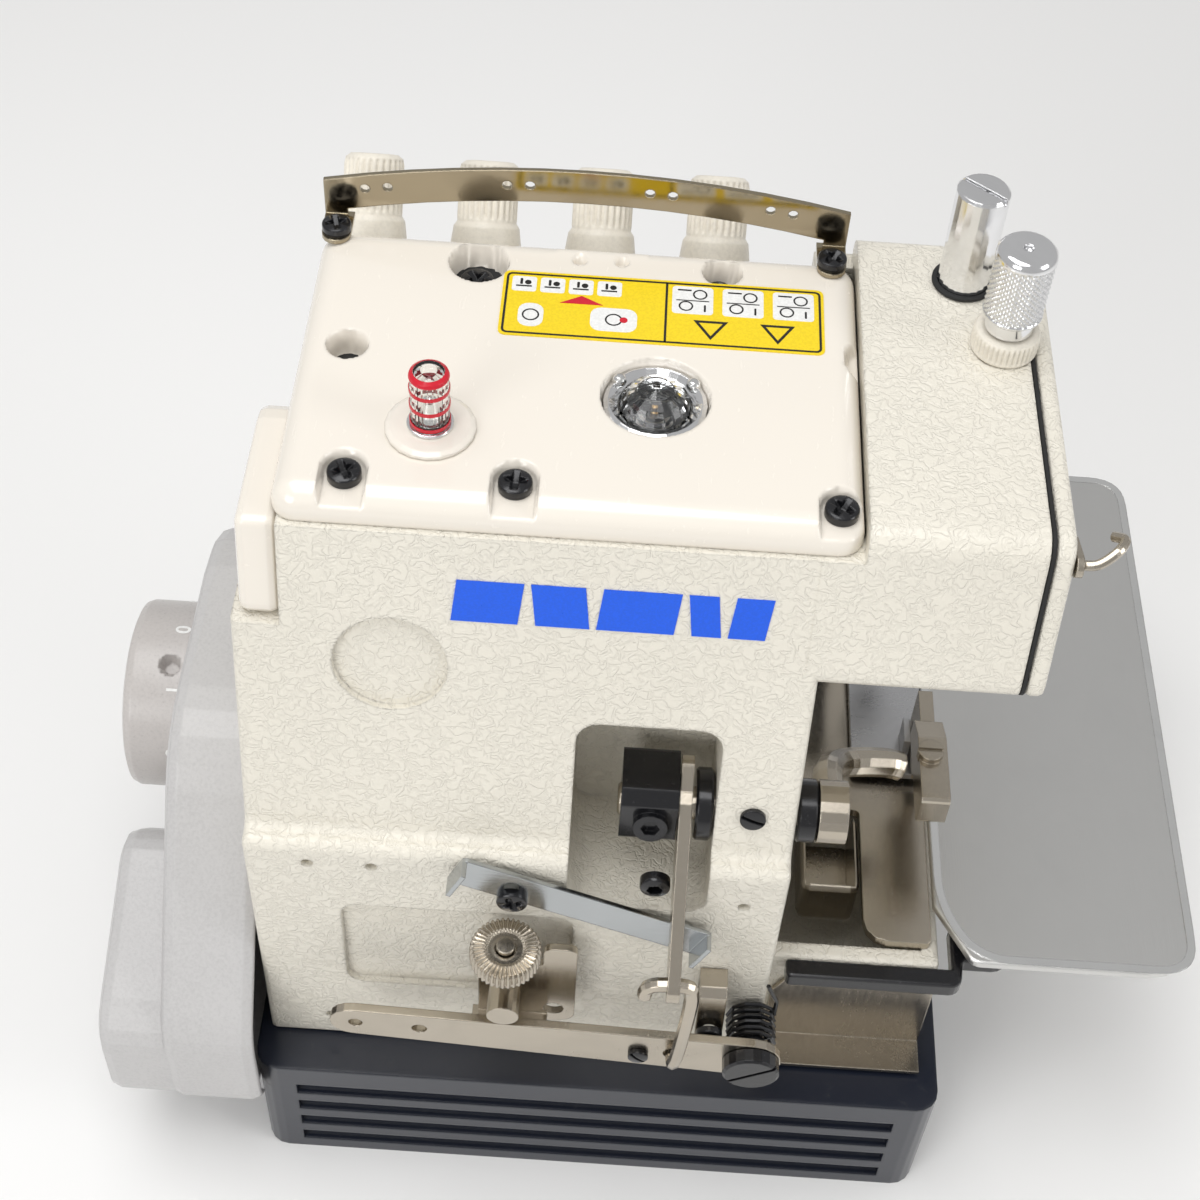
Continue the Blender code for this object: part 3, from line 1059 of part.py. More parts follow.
def feed_dog(finish):
    """Two toothed bars on a carrier that pushes the cloth towards the back."""
    low = BED_Z - 14.0
    dog = box("feed_dog", (NEEDLE_X - 9.6, NEEDLE_Y + 10, low), (NEEDLE_X + 8.6, NEEDLE_Y + 58, low + 6),
              finish)
    for side, x in enumerate((NEEDLE_X - 7.0, NEEDLE_X + 6.0)):
        teeth = [(NEEDLE_Y + 10.5, low + 4), (NEEDLE_Y + 43.5, low + 4)]
        count = 10
        for tooth in range(count):
            y = NEEDLE_Y + 43.5 - tooth * 33.0 / count
            teeth.append((y, BED_Z + 4.4))
            teeth.append((y - 33.0 / count, BED_Z + 3.4))
        weld(dog, prism(f"add_teeth_{side}", teeth, "X", x - 2.4, x + 2.4))


def chip_chute(finish):
    """Bent sheet channel that carries the trimmings away behind the knives."""
    left = RIGHT_X - 11.0
    right = RIGHT_X - 31.0
    rear = -2.0
    front = -33.0
    low = BED_Z - 17.0
    top = BED_Z + 6.0
    chute = box("chip_chute", (right, front, low), (left, rear, top), finish)
    soften(chute, 3.0, 2, 60.0)
    cut(chute, box("cut_chute", (right + 1.5, front - 5, low + 1.5), (left - 1.5, rear - 1.5, top + 5)))


def cloth_plate(finish):
    """Side table that swings out about an upright pivot at its rear."""
    right = CLOTH_X - PLATE_WIDTH
    corners = ((CLOTH_X, PLATE_FRONT_Y), (CLOTH_X, 3.5), (CLOTH_X - 12, PLATE_REAR_Y), (right, PLATE_REAR_Y),
               (right, PLATE_FRONT_Y))
    pivot = (HINGE_X, HINGE_Y, PLATE_TOP)
    plate = prism("cloth_plate", rounded(corners, (6, 3, 5, 18, 14)), "Z", PLATE_TOP - PLATE_THICK,
                  PLATE_TOP, finish, pivot)
    soften(plate, 0.9, 2, 50.0)
    weld(plate, bore("add_plate_boss", pivot, (0, 0, 1), 6.0, -PLATE_THICK - 4.0, -1.5, 20))


def hinge_bar(finish):
    """Bar across the rear of the bed that carries the cloth plate's pivot."""
    top = PLATE_TOP - PLATE_THICK - 4.0 - GAP
    corners = ((RIGHT_X - 6, BED_REAR_Y + GAP), (RIGHT_X - 6, BED_REAR_Y + 7), (ARM_X - 7, BED_REAR_Y + 7),
               (ARM_X - 8, HINGE_Y + 8), (HINGE_X - 8, HINGE_Y + 8), (HINGE_X - 8, HINGE_Y - 7),
               (ARM_X - 4, HINGE_Y - 7), (ARM_X - 4, BED_REAR_Y + GAP))
    bar = prism("hinge_bar", rounded(corners, (1, 2, 4, 1, 6, 6, 3, 1)), "Z", top - 7.0, top, finish)
    soften(bar, 1.2, 2, 60.0)


def rear_plate(finish):
    """Sheet that closes the back of the bed."""
    low = PAN_HEIGHT + 2.0
    high = PLATE_TOP - PLATE_THICK - 4.0 - 8.5
    corners = ((ARM_X, low), (RIGHT_X - 3, low), (RIGHT_X - 3, high - 12), (RIGHT_X - 9, high), (ARM_X, high))
    plate = prism("rear_plate", rounded(corners, (2, 2, 4, 4, 3)), "Y", BED_REAR_Y + GAP, BED_REAR_Y + 1.8,
                  finish)
    foot = box("add_plate_foot", (ARM_X, BED_REAR_Y + 0.6, low), (RIGHT_X - 3, BED_REAR_Y + 14, low + 1.5))
    weld(plate, foot)


def front_cover(finish):
    """Hinged cover over the loopers on the operator's side."""
    low = PAN_HEIGHT + 6.0
    high = BED_Z + 1.0
    rear = COLUMN_FRONT_Y - GAP
    front = rear - 30
    corners = ((rear, low + 4), (rear, high), (rear - 18, high), (front, high - 22), (front, low + 6),
               (front + 6, low),
               (COVER_HINGE_Y - 1, low), (COVER_HINGE_Y + 3, low + 2))
    cover = prism("front_cover", rounded(corners, (0, 0, 10, 12, 4, 4, 0, 0)), "X", ARM_X + 4,
                  FRONT_COVER_LEFT, finish,
                  (0, COVER_HINGE_Y, COVER_HINGE_Z))
    inner = ((rear + 5, low + 7), (rear + 5, high - 3), (rear - 17, high - 3), (front + 3, high - 22),
             (front + 3, low + 8),
             (front + 8, low + 3), (COVER_HINGE_Y - 1, low + 3), (COVER_HINGE_Y + 3, low + 7))
    cut(cover, prism("cut_front_cover", rounded(inner, (0, 0, 8, 9, 3, 3, 0, 0)), "X", ARM_X + 7,
                     FRONT_COVER_LEFT - 3))
    knuckles = [bore(f"add_cover_knuckle_{side}", (x, COVER_HINGE_Y, COVER_HINGE_Z), (1, 0, 0), 3.0, -6, 6,
                     14)
                for side, x in enumerate((ARM_X + 22, FRONT_COVER_LEFT - 16))]
    weld(cover, *knuckles)


# ------------------------------------------------------------------------------------------ assembly


def move_origin_to_base():
    """Shifts the machine so that the origin is the bottom centre of its bounding box."""
    bpy.context.view_layer.update()
    graph = bpy.context.evaluated_depsgraph_get()
    low = Vector((1e9, 1e9, 1e9))
    high = -low
    pieces = [piece for piece in bpy.context.scene.objects if piece.type == "MESH"]
    for piece in pieces:
        if piece.hide_render:
            continue
        shape = piece.evaluated_get(graph)
        for corner in shape.bound_box:
            place = shape.matrix_world @ Vector(corner)
            low = Vector(map(min, low, place))
            high = Vector(map(max, high, place))
    shift = Vector(((low[0] + high[0]) / 2, (low[1] + high[1]) / 2, low[2]))
    for piece in pieces:
        piece.location -= shift
    bpy.context.view_layer.update()
    print("origin shift, mm:", [round(value / MM, 4) for value in shift])


def main():
    for old in list(bpy.data.objects):
        bpy.data.objects.remove(old, do_unlink=True)
    finish = make_materials()
    frame = frame_casting(finish["cast_paint"])
    tension_bores(frame)
    oil_pan(finish["pan_paint"])
    top_cover(finish["gloss_paint"])
    thread_guide(finish["chrome"])
    oil_gauge(finish["gloss_paint"], finish["clear_plastic"])
    oil_window(finish["chrome"], finish["clear_plastic"])
    for index in range(TENSION_COUNT):
        tension_unit(index, finish["cream_plastic"], finish["steel"])
    needle_bar_cap(finish["chrome"])
    pressure_knobs(finish["nickel"], finish["cream_plastic"])
    arm_end(finish["black_rubber"], finish["cast_paint"])
    release_lever(finish["nickel"])
    side_cover(finish["gloss_paint"])
    presser_shaft_group(finish["black_oxide"], finish["nickel"])
    presser_arm(finish["nickel"])
    presser_shank(finish["nickel"])
    presser_foot(finish["steel"])
    lift_lever(finish["nickel"])
    lever_pivot(finish["black_oxide"])
    torsion_spring(finish["black_oxide"])
    spring_bracket(finish["nickel"])
    hook_rod(finish["nickel"])
    thread_hook(finish["zinc"])
    differential_feed(finish["nickel"])
    main_shaft_group(finish["steel"], finish["motor_iron"], finish["bronze"])
    handwheel(finish["wheel_plastic"])
    motor_cover(finish["grey_plastic"])
    needle_rocker(finish["steel"])
    connecting_rod(finish["steel"])
    needle_bar_group(finish["steel"], finish["black_oxide"])
    loopers(finish["steel"])
    knives(finish["steel"], finish["black_oxide"])
    throat_plate(finish["nickel"])
    feed_dog(finish["steel"])
    chip_chute(finish["nickel"])
    cloth_plate(finish["stainless"])
    hinge_bar(finish["black_oxide"])
    rear_plate(finish["nickel"])
    front_cover(finish["gloss_paint"])
    move_origin_to_base()


main()
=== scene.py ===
"""Look of a serger (overlock) machine head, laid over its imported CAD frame, written as a lesson in cells."""
# %% [markdown]
# # A serger machine head
# The machine's castings, shafts and levers arrive as a finished CAD frame in metres, with +Z up, +X towards
# the handwheel and +Y towards the back. This lesson gives every part its real finish, and lays the fine
# pieces over it that a CAD model leaves plain: knurled nuts, ribbed dials, screw heads, a moulded cover and
# a printed label.

# %% Load the frame
import json
import math

import bmesh
import bpy
import numpy as np
from mathutils import Matrix, Vector


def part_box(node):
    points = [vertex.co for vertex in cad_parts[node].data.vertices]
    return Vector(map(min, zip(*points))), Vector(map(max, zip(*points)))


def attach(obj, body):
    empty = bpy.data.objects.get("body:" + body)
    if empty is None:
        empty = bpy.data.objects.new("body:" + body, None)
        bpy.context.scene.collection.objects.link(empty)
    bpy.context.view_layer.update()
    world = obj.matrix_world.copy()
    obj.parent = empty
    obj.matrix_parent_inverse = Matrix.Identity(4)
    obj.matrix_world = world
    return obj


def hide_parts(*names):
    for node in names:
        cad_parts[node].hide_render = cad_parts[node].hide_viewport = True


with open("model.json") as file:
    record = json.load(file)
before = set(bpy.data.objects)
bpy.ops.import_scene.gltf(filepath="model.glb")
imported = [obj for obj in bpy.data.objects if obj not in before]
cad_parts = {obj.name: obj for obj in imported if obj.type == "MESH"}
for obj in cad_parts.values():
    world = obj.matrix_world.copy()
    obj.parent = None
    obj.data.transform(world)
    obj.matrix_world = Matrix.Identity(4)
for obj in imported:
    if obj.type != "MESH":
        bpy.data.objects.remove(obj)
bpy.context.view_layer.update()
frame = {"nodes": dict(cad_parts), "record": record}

# %% [markdown]
# ## Places on the machine
# Workshop drawings measure from an edge that can be felt. Here every place is read in millimetres from the
# middle of the top cover's rear edge, with height zero at the floor. Building from the frame's own boxes
# keeps the fine pieces on the machine if its size ever changes.

# %% Measure from the top cover
cover_low, cover_high = (np.array(corner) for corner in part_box("top_cover"))
DATUM = np.array([(cover_low[0] + cover_high[0]) / 2, cover_high[1], 0.0])
TOP = cover_high[2] * 1000


def spot(x, y, z):
    """Datum plus the millimetres given, in metres."""
    return DATUM + np.array([x, y, z]) / 1000


def reach(node):
    """Lowest and highest corner of a node, in millimetres from the datum."""
    low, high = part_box(node)
    return (np.array(low) - DATUM) * 1000, (np.array(high) - DATUM) * 1000


print("datum, mm:", np.round(DATUM * 1000, 1), "cover top:", round(TOP, 1))

# %% [markdown]
# ## The camera
# The machine is seen from behind and above, turned a little about the line of sight. A camera can be aimed
# with a tracking constraint, but writing its three axes out is exact: right, up, and backwards along the
# view.

# %% Aim the camera
VIEW_DOWN = math.radians(50.0)
VIEW_ROLL = math.radians(3.8)
FOCAL_LENGTH = 60.4
SENSOR_WIDTH = 36.0
CAMERA_PLACE = (-10.5, 370.0, 705.9)
forward = np.array([0.0, -math.cos(VIEW_DOWN), -math.sin(VIEW_DOWN)])
level = np.array([-1.0, 0.0, 0.0])
upright = np.cross(level, forward)
right = math.cos(VIEW_ROLL) * level + math.sin(VIEW_ROLL) * upright
above = math.cos(VIEW_ROLL) * upright - math.sin(VIEW_ROLL) * level
lens = bpy.data.cameras.new("camera")
lens.lens = FOCAL_LENGTH
lens.sensor_width = SENSOR_WIDTH
lens.clip_start = 0.01
camera = bpy.data.objects.new("camera", lens)
turn = Matrix([[right[i], above[i], -forward[i]] for i in range(3)])
camera.matrix_world = Matrix.Translation(Vector(spot(*CAMERA_PLACE))) @ turn.to_4x4()
bpy.context.scene.collection.objects.link(camera)
bpy.context.scene.camera = camera
print("camera at", [round(v, 3) for v in camera.location])

# %% [markdown]
# ## Floor and light
# A product is lit with large soft lamps, so that enamel shows long quiet highlights. One wide lamp hangs
# overhead, a second fills from the side, and a bright even sky keeps the shadows open.


# %% Build the studio
def soft_lamp(name, place, target, size, power):
    """A rectangular lamp at a place, turned so that its light goes to the target."""
    lamp = bpy.data.lights.new(name, "AREA")
    lamp.shape = "RECTANGLE"
    lamp.size, lamp.size_y = size
    lamp.energy = power
    holder = bpy.data.objects.new(name, lamp)
    holder.location = place
    holder.rotation_euler = (Vector(target) - Vector(place)).to_track_quat("-Z", "Y").to_euler()
    bpy.context.scene.collection.objects.link(holder)


LAMP_TARGET = (0, 0, 0.2)
SKY_STRENGTH = 0.5
soft_lamp("lamp_overhead", (0.25, 0.1, 1.5), LAMP_TARGET, (1.1, 0.8), 10)
soft_lamp("lamp_back", (0.9, 1.3, 0.9), LAMP_TARGET, (0.8, 0.6), 8)
soft_lamp("lamp_plate", (-1.3, 0.5, 0.9), LAMP_TARGET, (0.6, 0.6), 5)
sky = bpy.data.worlds.new("studio_sky")
sky.use_nodes = True
sky.node_tree.nodes["Background"].inputs["Color"].default_value = (1.0, 1.0, 1.0, 1.0)
sky.node_tree.nodes["Background"].inputs["Strength"].default_value = SKY_STRENGTH
bpy.context.scene.world = sky
bpy.context.scene.view_settings.view_transform = "Standard"

# %% [markdown]
# ## Writing a finish as a sum
# Node trees are quick to draw and slow to read. Wrapping a socket in a small class lets the same tree be
# written as arithmetic, such as 1 - mask * 0.3. Every other node comes from one method, so each finish
# reads from the top down.


# %% Shader arithmetic
class Signal:
    """One output socket of a finish, which can be added, subtracted and multiplied like a number."""

    def __init__(self, board, socket):
        self.board = board
        self.socket = socket

    def with_number(self, operation, first, second):
        """One Math node that joins two values."""
        return self.board.node("ShaderNodeMath", {"operation": operation}, {0: first, 1: second})

    def __add__(self, other):
        return self.with_number("ADD", self, other)

    __radd__ = __add__

    def __sub__(self, other):
        return self.with_number("SUBTRACT", self, other)

    def __rsub__(self, other):
        return self.with_number("SUBTRACT", other, self)

    def __mul__(self, other):
        return self.with_number("MULTIPLY", self, other)

    __rmul__ = __mul__


class Board:
    """A finish: its material, its shader and the nodes that feed it."""

    def __init__(self, name, colour, roughness, **fixed):
        self.material = bpy.data.materials.new(name)
        self.material.use_nodes = True
        self.tree = self.material.node_tree
        self.shader = self.tree.nodes["Principled BSDF"]
        self.material.diffuse_color = (*colour, 1.0)
        self.fix("Base Color", (*colour, 1.0))
        self.fix("Roughness", roughness)
        for socket, value in fixed.items():
            self.fix(socket.replace("_", " "), value)

    def fix(self, socket, value):
        """A socket of the shader set to one value."""
        self.shader.inputs[socket].default_value = value

    def node(self, kind, settings=None, inputs=None, output=0):
        """A node of one kind: its settings first, then the value or link of each socket."""
        made = self.tree.nodes.new(kind)
        for key, value in (settings or {}).items():
            setattr(made, key, value)
        for key, value in (inputs or {}).items():
            if isinstance(value, Signal):
                self.tree.links.new(value.socket, made.inputs[key])
            else:
                made.inputs[key].default_value = value
        return Signal(self, made.outputs[output])

    def place(self, scale=(1.0, 1.0, 1.0)):
        """The point on the object, in metres, with each axis multiplied by its scale."""
        where = self.node("ShaderNodeTexCoord", output=3)
        return self.node("ShaderNodeMapping", {}, {"Vector": where, "Scale": scale})

    def noise(self, scale, detail=2.0, roughness=0.5, distortion=0.0, stretch=(1.0, 1.0, 1.0)):
        """Cloudy noise from 0 to 1; a stretch below 1 draws it out along that axis."""
        return self.node("ShaderNodeTexNoise", {}, {"Vector": self.place(stretch), "Scale": scale,
                                                    "Detail": detail,
                                                    "Roughness": roughness, "Distortion": distortion})

    def blend(self, share, first, second):
        """The first colour where share is 0 and the second where it is 1."""
        return self.node("ShaderNodeMix", {"data_type": "RGBA"}, {0: share, 6: first, 7: second}, 2)

    def spread(self, value, low, high):
        """The value drawn out so that low becomes 0 and high becomes 1, and held between them."""
        return self.node("ShaderNodeMapRange", {"interpolation_type": "SMOOTHSTEP"},
                         {"Value": value, "From Min": low, "From Max": high})

    def feed(self, socket, signal):
        """A socket of the shader linked to a signal."""
        self.tree.links.new(signal.socket, self.shader.inputs[socket])

    def relief(self, height, depth, strength=1.0, edge=0.0):
        """Height gives the bump; edge, in metres, rounds the light on sharp corners."""
        inputs = {"Height": height, "Distance": depth, "Strength": strength}
        if edge:
            inputs["Normal"] = self.node("ShaderNodeBevel", {"samples": 4}, {"Radius": edge})
        self.feed("Normal", self.node("ShaderNodeBump", {}, inputs))


# %% [markdown]
# ## Cast iron under cream enamel
# The body is sand-cast, then sprayed with a thick cream enamel that crinkles as it dries. Seen close, the
# skin is a maze of low rounded worms two or three millimetres long. A ridge is made from noise by folding
# it at its middle value; two sizes are added so that the pattern never repeats.


# %% Crinkled enamel
def crinkled_enamel(name, colour):
    """Skin: 0.6 of a folded noise, 2|n - 0.5|, and 0.4 of a finer one; its hollows carry painted shade."""
    board = Board(name, colour, 0.42, Coat_Weight=0.25, Coat_Roughness=0.18)
    worms = board.noise(300.0, 2.0, 0.45, 0.8)
    fine = board.noise(800.0, 2.0, 0.6)
    fold = board.node("ShaderNodeMath", {"operation": "ABSOLUTE"}, {0: worms - 0.5}) * 2.0
    skin = board.spread(fold, 0.0, 0.22) * 0.6 + fine * 0.4
    cloud = board.noise(9.0, 2.0)
    shade = board.blend(board.spread(cloud, 0.3, 0.7), (*[c * 0.95 for c in colour], 1.0), (*colour, 1.0))
    # Painted shade: where the skin is low, in the hollows of the crinkle, the colour goes down to 0.92 of the
    # cream.
    dark = board.blend(board.spread(skin, 0.1, 0.4), (*[c * 0.92 for c in colour], 1.0), shade)
    board.feed("Base Color", dark)
    board.feed("Roughness", 0.46 - board.spread(skin, 0.2, 0.9) * 0.16)
    board.relief(skin, 0.0008, 0.55, edge=0.0016)
    return board.material


cast_enamel = crinkled_enamel("cast_enamel", (0.80, 0.76, 0.665))

# %% [markdown]
# ## Gloss enamel
# The covers are smooth mouldings under the same cream, polished until they mirror the lamps. A perfectly
# flat gloss looks false, so a slow swell bends the reflections a little and faint handling marks change the
# roughness.


# %% Smooth enamel and moulded plastics
def smooth_enamel(name, colour):
    """A slow swell gives the bump, and a stretched noise gives handling marks in the roughness."""
    board = Board(name, colour, 0.2, Coat_Weight=0.6, Coat_Roughness=0.06)
    swell = board.noise(55.0, 2.0, 0.4)
    marks = board.noise(420.0, 4.0, 0.65, 0.4, (1.0, 0.25, 1.0))
    tone = board.blend(board.noise(14.0), (*[c * 0.965 for c in colour], 1.0), (*colour, 1.0))
    board.feed("Base Color", tone)
    board.feed("Roughness", 0.17 + board.spread(marks, 0.5, 0.72) * 0.13)
    board.relief(swell, 0.0004, 0.12, edge=0.0012)
    return board.material


def moulded(name, colour, roughness, grain=700.0, edge=0.0008):
    """Plastic: a fine even grain from the tool, slightly darker in its pits as painted shade."""
    board = Board(name, colour, roughness)
    pits = board.noise(grain, 3.0, 0.6)
    drift = board.noise(18.0)
    # Painted shade: the colour goes down to 0.9 of itself where the grain is low, in its pits; the slow drift
    # mixed in is a random change of tone.
    tone = board.blend(board.spread(pits * 0.7 + drift * 0.3, 0.3, 0.6), (*[c * 0.9 for c in colour], 1.0),
                       (*colour, 1.0))
    board.feed("Base Color", tone)
    board.feed("Roughness", roughness - 0.07 + pits * 0.14)
    board.relief(pits, 0.0003, 0.25, edge=edge)
    return board.material


gloss_enamel = smooth_enamel("gloss_enamel", (0.84, 0.785, 0.70))
dial_plastic = moulded("dial_plastic", (0.82, 0.77, 0.67), 0.38)
motor_plastic = moulded("motor_plastic", (0.53, 0.52, 0.515), 0.34, 900.0, 0.0015)
wheel_plastic = moulded("wheel_plastic", (0.53, 0.50, 0.48), 0.3, 900.0, 0.001)
gasket_rubber = moulded("gasket_rubber", (0.012, 0.012, 0.012), 0.7)

# %% [markdown]
# ## Metals
# Plated and ground steel differ in two things: how strongly the surface is drawn out in one direction, and
# the tint of the plating. Fine noise stretched along the grain gives the brush lines, and the same lines
# shift the roughness, so the highlight breaks up as it does on the real plate.


# %% Brushed and plated metals
def drawn_metal(name, colour, roughness, stretch=(1.0, 1.0, 1.0), scale=900.0, lines=0.25, stains=0.12,
                edge=0.0006):
    """Noise stretched along the grain gives bump and roughness; a slow cloud stains the colour."""
    board = Board(name, colour, roughness, Metallic=1.0)
    brush = board.noise(scale, 3.0, 0.7, 0.0, stretch)
    cloud = board.noise(38.0, 3.0, 0.6, 0.8)
    tone = board.blend(board.spread(cloud, 0.35, 0.75) * stains * 4.0, (*colour, 1.0),
                       (*[c * 0.62 for c in colour], 1.0))
    board.feed("Base Color", tone)
    board.feed("Roughness", roughness - 0.06 + brush * 0.16 + board.spread(cloud, 0.4, 0.8) * stains)
    board.relief(brush, 0.0002, lines, edge=edge)
    return board.material


bright_chrome = drawn_metal("bright_chrome", (0.84, 0.84, 0.85), 0.08, (1, 1, 1), 300.0, 0.03, 0.05)
warm_nickel = drawn_metal("warm_nickel", (0.50, 0.45, 0.375), 0.2, (1.0, 1.0, 0.15), 800.0, 0.08, 0.06)
plate_steel = drawn_metal("plate_steel", (0.68, 0.675, 0.66), 0.30, (1.0, 0.02, 1.0), 2200.0, 0.26, 0.015)
# rim_steel is brighter than plate_steel; on the cloth plate's flat rim band, that extra brightness is a
# painted highlight.
rim_steel = drawn_metal("rim_steel", (0.80, 0.80, 0.79), 0.12, (1, 1, 1), 400.0, 0.05, 0.05)
zinc_strip = drawn_metal("zinc_strip", (0.46, 0.48, 0.49), 0.17, (0.1, 1.0, 1.0), 900.0, 0.12, 0.03)
ground_steel = drawn_metal("ground_steel", (0.56, 0.56, 0.57), 0.26, (0.2, 1.0, 1.0), 900.0, 0.15, 0.1)
dark_iron = drawn_metal("dark_iron", (0.10, 0.10, 0.10), 0.45, (1, 1, 1), 500.0, 0.2, 0.1)
guide_mirror = drawn_metal("guide_mirror", (0.40, 0.345, 0.25), 0.1, (1, 1, 1), 300.0, 0.04, 0.05)
bush_bronze = drawn_metal("bush_bronze", (0.62, 0.40, 0.18), 0.35, (0.2, 1.0, 1.0), 900.0, 0.15, 0.1)

# %% [markdown]
# ## Black parts and the pan
# Screws and clamps are blackened in hot salts and then oiled: nearly black, with a close bright highlight.
# The pan is dark blue-black enamel that has picked up a little dust and lint in its grooves.


# %% Blackened steel and pan enamel
def blackened(name, roughness):
    """Nearly black under a thin coat; where the wear noise is high, the colour goes to grey."""
    board = Board(name, (0.011, 0.011, 0.013), roughness, Metallic=0.35, Coat_Weight=0.35,
                  Coat_Roughness=0.12)
    wear = board.noise(650.0, 4.0, 0.65)
    board.feed("Base Color", board.blend(board.spread(wear, 0.6, 0.8), (0.009, 0.009, 0.011, 1.0),
                                         (0.045, 0.045, 0.048, 1.0)))
    board.feed("Roughness", roughness - 0.08 + wear * 0.2)
    board.relief(wear, 0.0002, 0.2, edge=0.0006)
    return board.material


def pan_enamel():
    """Dark enamel, mixed up to a third of the way to grey dust where the dust noise is high."""
    board = Board("pan_enamel", (0.012, 0.015, 0.026), 0.32, Coat_Weight=0.3, Coat_Roughness=0.2)
    dust = board.noise(160.0, 5.0, 0.75, 0.6)
    share = board.spread(dust, 0.58, 0.82) * 0.35
    board.feed("Base Color", board.blend(share, (0.011, 0.014, 0.025, 1.0), (0.07, 0.068, 0.066, 1.0)))
    board.feed("Roughness", 0.28 + share * 0.9)
    board.relief(dust, 0.0002, 0.12, edge=0.0016)
    return board.material


black_steel = blackened("black_steel", 0.22)
dark_pan = pan_enamel()

# %% [markdown]
# ## Clear plastic and prints
# The gauge tube and the sight dome are clear acrylic. Light has to pass through them, so they use the
# shader's transmission. Inks are flat colours broken by a fine grain, as screen-printed ink is.


# %% Clear parts and inks
def clear_acrylic(name):
    """Clear plastic, with a faint haze added to its roughness."""
    board = Board(name, (0.96, 0.97, 0.97), 0.04, Transmission_Weight=1.0, IOR=1.46)
    haze = board.noise(240.0, 3.0)
    board.feed("Roughness", 0.015 + board.spread(haze, 0.5, 0.8) * 0.06)
    return board.material


def ink(name, colour, roughness=0.35):
    """Flat colour, down to nine tenths of it in the low places of a fine grain."""
    board = Board(name, colour, roughness)
    grain = board.noise(1400.0, 2.0)
    board.feed("Base Color", board.blend(board.spread(grain, 0.35, 0.7), (*[c * 0.9 for c in colour], 1.0),
                                         (*colour, 1.0)))
    board.feed("Roughness", roughness - 0.05 + grain * 0.1)
    return board.material


acrylic = clear_acrylic("acrylic")
yellow_ink = ink("yellow_ink", (0.90, 0.66, 0.012), 0.3)
black_ink = ink("black_ink", (0.012, 0.012, 0.012))
white_ink = ink("white_ink", (0.86, 0.86, 0.84))
red_ink = ink("red_ink", (0.62, 0.012, 0.03), 0.2)
blue_ink = ink("blue_ink", (0.0, 0.105, 0.80), 0.3)

# %% [markdown]
# ## Dressing the frame
# Each CAD part already has one material slot. The frame's record says which finish each part has, so one
# table from slot to finish dresses the whole machine.

# %% Give each CAD part its finish
FINISHES = {
    "cast_paint": cast_enamel, "gloss_paint": gloss_enamel, "cream_plastic": dial_plastic,
    "grey_plastic": motor_plastic, "wheel_plastic": wheel_plastic, "pan_paint": dark_pan,
    "chrome": bright_chrome,
    "nickel": warm_nickel, "stainless": plate_steel, "zinc": zinc_strip, "steel": ground_steel,
    "black_oxide": black_steel, "black_rubber": gasket_rubber, "clear_plastic": acrylic,
    "bronze": bush_bronze,
    "motor_iron": dark_iron,
}
for entry in frame["record"]["subparts"]:
    node = frame["nodes"][entry["node"]]
    node.data.materials.clear()
    node.data.materials.append(FINISHES[entry["material_slot"]])
frame["nodes"]["thread_guide"].data.materials[0] = guide_mirror

# %% [markdown]
# ## A piece from a grid
# Every fine piece below is a surface worked out on a grid of two parameters. The grid's points are found as
# whole arrays, and the faces follow from counting: each cell joins a point to its neighbours. Points that
# meet at a pole or a seam are merged, and the faces are then turned outwards.


# %% Grids and pieces
def grid_faces(rows, columns, around=False, closed=False):
    """Cell (i, j) joins point i, j to the next row and column; around wraps columns, closed wraps rows."""
    i, j = np.meshgrid(np.arange(rows - (not closed)), np.arange(columns - (not around)), indexing="ij")
    k = (i + 1) % rows
    m = (j + 1) % columns
    return np.stack([i * columns + j, k * columns + j, k * columns + m, i * columns + m],
                    axis=-1).reshape(-1, 4)


def make_piece(name, points, faces, finish, body, sharp=38.0, merge=1e-6):
    """Points in metres and faces as index rows become a closed, outward-facing piece that rides on a body."""
    mesh = bpy.data.meshes.new(name)
    mesh.from_pydata(np.asarray(points).reshape(-1, 3).tolist(), [], [list(map(int, face)) for face in faces])
    shape = bmesh.new()
    shape.from_mesh(mesh)
    bmesh.ops.remove_doubles(shape, verts=shape.verts, dist=merge)
    bmesh.ops.dissolve_degenerate(shape, edges=shape.edges, dist=merge)
    bmesh.ops.recalc_face_normals(shape, faces=shape.faces)
    shape.to_mesh(mesh)
    shape.free()
    mesh.materials.append(finish)
    mesh.shade_smooth()
    mesh.set_sharp_from_angle(angle=math.radians(sharp))
    made = bpy.data.objects.new(name, mesh)
    bpy.context.scene.collection.objects.link(made)
    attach(made, body)
    return made


def axis_turn(axis):
    """Matrix that takes +Z to the axis."""
    return np.array(Vector((0, 0, 1)).rotation_difference(Vector(axis)).to_matrix())


def filleted(corners, radius, steps=5):
    """A polyline whose inner corners become arcs: each arc is the blend of two legs by a quadratic curve."""
    corners = np.asarray(corners, float)
    before, here, after = corners[:-2], corners[1:-1], corners[2:]
    leg_in = before - here
    leg_out = after - here
    size_in = np.linalg.norm(leg_in, axis=1, keepdims=True)
    size_out = np.linalg.norm(leg_out, axis=1, keepdims=True)
    trim = np.minimum(np.minimum(size_in, size_out) * 0.49, radius)
    start = here + leg_in / size_in * trim
    end = here + leg_out / size_out * trim
    t = np.linspace(0, 1, steps)[None, :, None]
    arcs = start[:, None] * (1 - t) ** 2 + 2 * here[:, None] * t * (1 - t) + end[:, None] * t ** 2
    return np.vstack([corners[:1], arcs.reshape(-1, 2), corners[-1:]])


